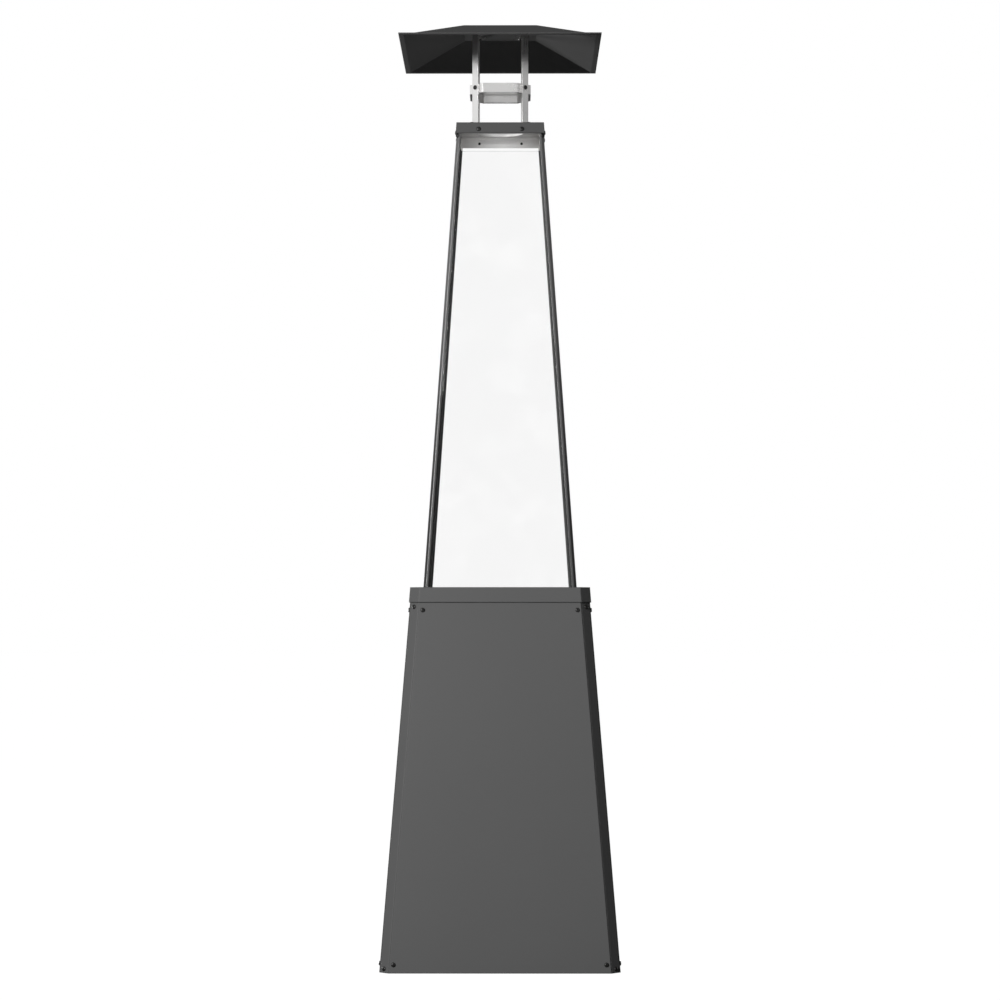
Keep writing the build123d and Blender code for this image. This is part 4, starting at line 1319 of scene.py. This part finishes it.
class Assembly:
    """A sub-assembly: which finish dresses which CAD nodes, and the pieces that it adds."""

    coats: Mapping[Coat, Sequence[str]] = {}

    def add(self) -> None:
        """Adds the sub-assembly's own pieces, where it has any."""

    def build(self) -> None:
        """Adds the pieces and dresses the CAD nodes."""
        self.add()
        for coat, nodes in self.coats.items():
            coat.dress(nodes)


@dataclass
class Cabinet(Assembly):
    """Tapered cabinet with its tray, posts, panels, collar and deck."""

    posts = tuple(f"cabinet_post_{corner}" for corner in CORNERS)
    panels = ("front_panel", "right_panel", "left_panel", "rear_sill", "control_panel")
    coats = {
        Coat.CHARCOAL: (*posts, *panels, "collar"),
        Coat.ZINC: ("base_tray", "bottle_hoop", "burner_deck"),
        Coat.RUBBER: ("foot_pads",),
    }


@dataclass
class Door(Assembly):
    """Service door with its hinges and its quarter-turn latch."""

    hinges = ("hinge_frame_leaves", "hinge_door_leaves")
    coats = {
        Coat.CHARCOAL: ("service_door",),
        Coat.BLACK_STEEL: hinges,
        Coat.ZINC: ("hinge_pins", "latch_cam"),
        Coat.PLASTIC: ("latch_bush", "latch_knob"),
    }
    rivets: Rivets = Rivets()
    knob: GripKnob = GripKnob(
        "latch_knob",
        "latch_turn",
        radius=17 * MM,
        skirt=5 * MM,
        height=14 * MM,
        grip_length=30 * MM,
        grip_width=8.5 * MM,
        shaft=5 * MM,
        pointer=False,
    )

    def add(self) -> None:
        """Rivets the hinges and moulds the latch's knob."""
        for node in self.hinges:
            self.rivets.build(node)
        self.knob.build()


@dataclass
class Controls(Assembly):
    """Gas valve with its knob, and the igniter with its button."""

    coats = {
        Coat.PLASTIC: ("control_knob", "dial_plate", "piezo_igniter"),
        Coat.BUTTON: ("igniter_button",),
        Coat.ALUMINIUM: ("gas_valve", "burner_pipe"),
        Coat.BRASS: ("gas_inlet", "gas_injector", "valve_spindle"),
    }
    marks: DialMarks = DialMarks()
    knob: GripKnob = GripKnob(
        "control_knob",
        "knob_turn",
        radius=24 * MM,
        skirt=7 * MM,
        height=22 * MM,
        grip_length=44 * MM,
        grip_width=12 * MM,
        hollow=((4.05 * MM, 15 * MM), (4.05 * MM, 6 * MM), (10.5 * MM, 6 * MM), (10.5 * MM, 0.0)),
    )

    def add(self) -> None:
        """Moulds the control knob, hollow from below, and prints its dial."""
        self.knob.build()
        self.marks.build()


@dataclass
class Burner(Assembly):
    """Burner, pilot, sensors and their dish."""

    coats = {
        Coat.HEATED_STEEL: ("burner_head", "burner_dish", "pilot_bracket", "pilot_burner"),
        Coat.BRUSHED_UPRIGHT: ("venturi_tube",),
        Coat.COPPER: ("pilot_pipe", "thermocouple"),
        Coat.ELECTRODE: ("spark_electrode",),
        Coat.PLASTIC: ("tilt_switch",),
    }


@dataclass
class Tower(Assembly):
    """Glazed tower with its posts, seat, strips, cap, inner frame and outlet."""

    coats = {
        Coat.SATIN_STEEL: tuple(f"tower_post_{corner}" for corner in CORNERS),
        Coat.CAP: ("top_cap",),
        Coat.GLASS: tuple(f"glass_pane_{side}" for side in SIDES),
        Coat.CHARCOAL: ("pane_seat", "pane_retainers"),
        Coat.FLUE_STEEL: ("top_frame",),
    }
    eyelet: tuple[tuple[float, float], ...] = (
        (57.6, 2021.6),
        (57.6, 2028.2),
        (58.1, 2029.4),
        (59.2, 2030.0),
        (62.4, 2030.0),
        (62.9, 2029.6),
        (62.4, 2029.15),
        (59.8, 2029.1),
        (58.4, 2028.1),
        (58.4, 2021.6),
    )

    def add(self) -> None:
        """Rolls an eyelet into the outlet, its profile (r, z) turned round the upright axis, in steel made
        pale as a painted reflection.
        """
        profile = np.array(self.eyelet)[:, None, :] * MM
        ring = skin(rings(profile[..., 0], turns(96), profile[..., 1]), ring=True)
        add_piece("outlet_eyelet", [ring], "top_frame", Coat.PAINTED_REFLECTION_STEEL)


@dataclass
class Hood(Assembly):
    """Pyramid hood on its four bars, with the ring band between them."""

    coats = {
        Coat.HOOD: ("hood_shell",),
        Coat.BRUSHED_UPRIGHT: ("hood_bars",),
        Coat.BRUSHED_LEVEL: ("ring_band",),
    }
    band_sheet: float = 2.0 * MM
    band_leg: float = 30.8 * MM
    lip_reach: float = 18.3 * MM
    roll_reach: float = 4.0 * MM
    lip_sheet: float = 1.6 * MM

    def octagon(self, inset: float, half: float) -> np.ndarray:
        """Corners of the band's inner outline, drawn in: a square whose corners are cut at 45 degrees.

        Drawing the outline in by d shortens each cut's leg by d * (2 - sqrt 2).

        Args:
            inset: How far the outline is drawn in.
            half: Half-width of the outline before that.

        Returns:
            The eight corners, two numbers each.
        """
        wide = half - inset
        leg = self.band_leg - inset * (2 - math.sqrt(2))
        corner = np.array([[wide, -wide + leg], [wide, wide - leg]])
        c, s = np.cos(turns(4)), np.sin(turns(4))
        spin = np.stack([np.stack([c, -s], -1), np.stack([s, c], -1)], 1)
        return np.einsum("kab,nb->kna", spin, corner).reshape(-1, 2)

    def add(self) -> None:
        """Folds the band's edges in: a flat strip between two outlines, narrow below and wide above."""
        low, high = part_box("ring_band")
        half = high[0] - self.band_sheet
        lips = []
        for start, reached in ((low[2], self.roll_reach), (high[2] - self.lip_sheet, self.lip_reach)):
            outlines = np.array([self.octagon(inset, half) for inset in (0.0, reached, reached, 0.0)])
            end = start + self.lip_sheet
            lips.append(skin(lift(outlines, (start, start, end, end)), ring=True))
        add_piece("ring_band_lips", lips, "ring_band", Coat.BRUSHED_LEVEL)


@dataclass
class Fasteners(Assembly):
    """The screws that hold the sheets together, and the nuts inside the cap."""

    head: PanHead = PanHead()
    nut_radius: float = 3.7 * MM
    nut_height: float = 2.4 * MM
    nut_edge: float = 0.4 * MM
    nut_gap: float = 0.4 * MM

    def nuts(self) -> None:
        """Puts a hexagon nut on the end of each screw that goes through a wall of the cap.

        A nut's rings have six corners at radius R, drawn in by an edge at both faces.
        """
        radii = self.nut_radius - self.nut_edge * np.array([1.0, 0.0, 0.0, 1.0])
        level = np.array([0.0, self.nut_edge, self.nut_height - self.nut_edge, self.nut_height])
        nut = skin(rings(radii[:, None], turns(6), level[:, None]))
        placed = []
        for seat, axis, length in self.head.seats("tower_screws"):
            if seat[2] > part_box("top_cap")[0][2] and abs(axis[:2]).max() > 0.95:
                placed.append(Seat.facing(seat - axis * (length + self.nut_gap), axis).place(nut))
        add_piece("cap_nuts", placed, "tower_screws", Coat.BLACK_STEEL)

    def add(self) -> None:
        """Adds the nuts, and swaps each group of plain screws for pan heads."""
        self.nuts()
        for node in ("cabinet_screws", "tower_screws", "hood_screws"):
            self.head.swap(node)


# Studio


@dataclass
class Lamp:
    """A soft oblong lamp that looks at a point, with its beam's spread in degrees."""

    name: str
    place: Triple
    aim: Triple
    size: tuple[float, float]
    power: float
    spread: float = 180.0

    def build(self) -> None:
        """Makes the lamp."""
        data = bpy.data.lights.new(self.name, "AREA")
        data.shape = "RECTANGLE"
        data.size, data.size_y = self.size
        data.energy = self.power
        data.spread = math.radians(self.spread)
        lamp = bpy.data.objects.new(self.name, data)
        bpy.context.scene.collection.objects.link(lamp)
        lamp.location = self.place
        way = Vector(self.aim) - Vector(self.place)
        lamp.rotation_euler = way.to_track_quat("-Z", "Y").to_euler()


@dataclass
class Studio:
    """Pale floor, white surroundings, soft lamps and the camera."""

    distance: float = 6.764
    eye: float = 0.827
    pitch: float = 2.46
    yaw: float = 0.233
    side: float = 0.0009
    lens: float = 99.61
    sensor: float = 36.0
    clip: float = 200.0
    even: float = 0.03
    sheen: float = 0.08
    floor_radii: tuple[float, float] = (2.5, 60.0)
    floor_sectors: int = 64
    floor_grain: Pattern = Pattern(6.0, 2.0)
    floor_tones: tuple[float, float] = (0.045, 0.047)
    floor_ahead: float = 1.0
    floor_behind: float = 0.05
    ahead_from: float = -0.3
    ahead_to: float = -2.3
    lamps: tuple[Lamp, ...] = (
        Lamp("key", (-3.7, -5.6, 2.9), (0, 0, 1.0), (2.0, 1.6), 525.0),
        Lamp("front", (0.9, -6.2, 3.7), (0, 0, 1.1), (2.6, 1.4), 18.0),
        Lamp("left_high", (-4.4, -0.2, 3.1), (0, 0, 2.0), (1.8, 1.4), 13.0),
        Lamp("right_high", (4.4, -0.2, 3.1), (0, 0, 2.0), (1.8, 1.4), 5.5),
        Lamp("left_rear", (-3.4, 3.8, 0.9), (0, 0, 2.0), (1.2, 1.0), 185.0),
        Lamp("right_rear", (3.4, 3.8, 0.9), (0, 0, 2.0), (1.2, 1.0), 31.0),
        Lamp("rear", (0.3, 5.8, 2.2), (0, 0, 0.6), (1.6, 0.8), 7.5, 30.0),
    )

    def camera(self) -> None:
        """Places the camera by distance, height, pitch and yaw."""
        data = bpy.data.cameras.new("camera")
        data.lens = self.lens
        data.sensor_width = self.sensor
        data.clip_end = self.clip
        eye = bpy.data.objects.new("camera", data)
        bpy.context.scene.collection.objects.link(eye)
        turn = math.radians(self.yaw)
        eye.location = (
            self.distance * math.sin(turn) - self.side * math.cos(turn),
            -self.distance * math.cos(turn) - self.side * math.sin(turn),
            self.eye,
        )
        eye.rotation_euler = (math.radians(90 + self.pitch), 0, turn)
        bpy.context.scene.camera = eye

    def floor(self) -> None:
        """Makes a wide pale disc: a polar grid of two rings at z = 0, closed in the middle by one face."""
        count = self.floor_sectors
        points = rings(np.array(self.floor_radii)[:, None], turns(count), 0.0).reshape(-1, 3)
        faces = grid_faces(2, count)[:, ::-1].tolist() + [list(range(count))]
        disc = add_mesh("floor", (points, faces), smooth=False)
        r = Recipe(bpy.data.materials.new("floor_pale"))
        tone = r.mix(r.noise(self.floor_grain), *map(grey, self.floor_tones))
        lit = r.surface({"Base Color": tone, "Roughness": 0.9, "Specular IOR Level": 0.0})
        span = {"From Min": self.ahead_from, "From Max": self.ahead_to}
        ahead = r.add("ShaderNodeMapRange", {}, {"Value": r.axis(r.place(), "Y"), **span})
        sheen = ahead * self.floor_ahead + (1.0 - ahead) * self.floor_behind
        seen = r.ray("Is Camera Ray", "Is Transmission Ray") + sheen * r.ray("Is Glossy Ray")
        glow = r.add("ShaderNodeEmission", {}, {"Color": grey(1.0), "Strength": seen})
        disc.data.materials.append(r.finish(r.add("ShaderNodeAddShader", {}, {0: lit, 1: glow})))

    def world(self) -> None:
        """White surroundings for what is seen, and a low even light for the rest."""
        world = bpy.data.worlds.new("surroundings")
        bpy.context.scene.world = world
        r = Recipe(world)
        seen = r.ray("Is Camera Ray", "Is Transmission Ray")
        sheen = r.ray("Is Glossy Ray")
        even = 1.0 - r.ray("Is Camera Ray", "Is Transmission Ray", "Is Glossy Ray")
        level = seen + self.sheen * sheen + self.even * even
        r.finish(r.add("ShaderNodeBackground", {}, {"Color": grey(1.0), "Strength": level}))

    def build(self) -> None:
        """Sets up the whole studio."""
        self.camera()
        self.floor()
        self.world()
        for lamp in self.lamps:
            lamp.build()
        bpy.context.scene.view_settings.view_transform = "Standard"


def main() -> None:
    """Builds the studio and dresses the heater, sub-assembly by sub-assembly."""
    logging.basicConfig(level=logging.INFO, format="%(name)s %(message)s")
    Studio().build()
    for assembly in (Cabinet(), Door(), Controls(), Burner(), Tower(), Hood(), Fasteners()):
        assembly.build()
        log.info("%s done", type(assembly).__name__)


if __name__ == "__main__":
    main()
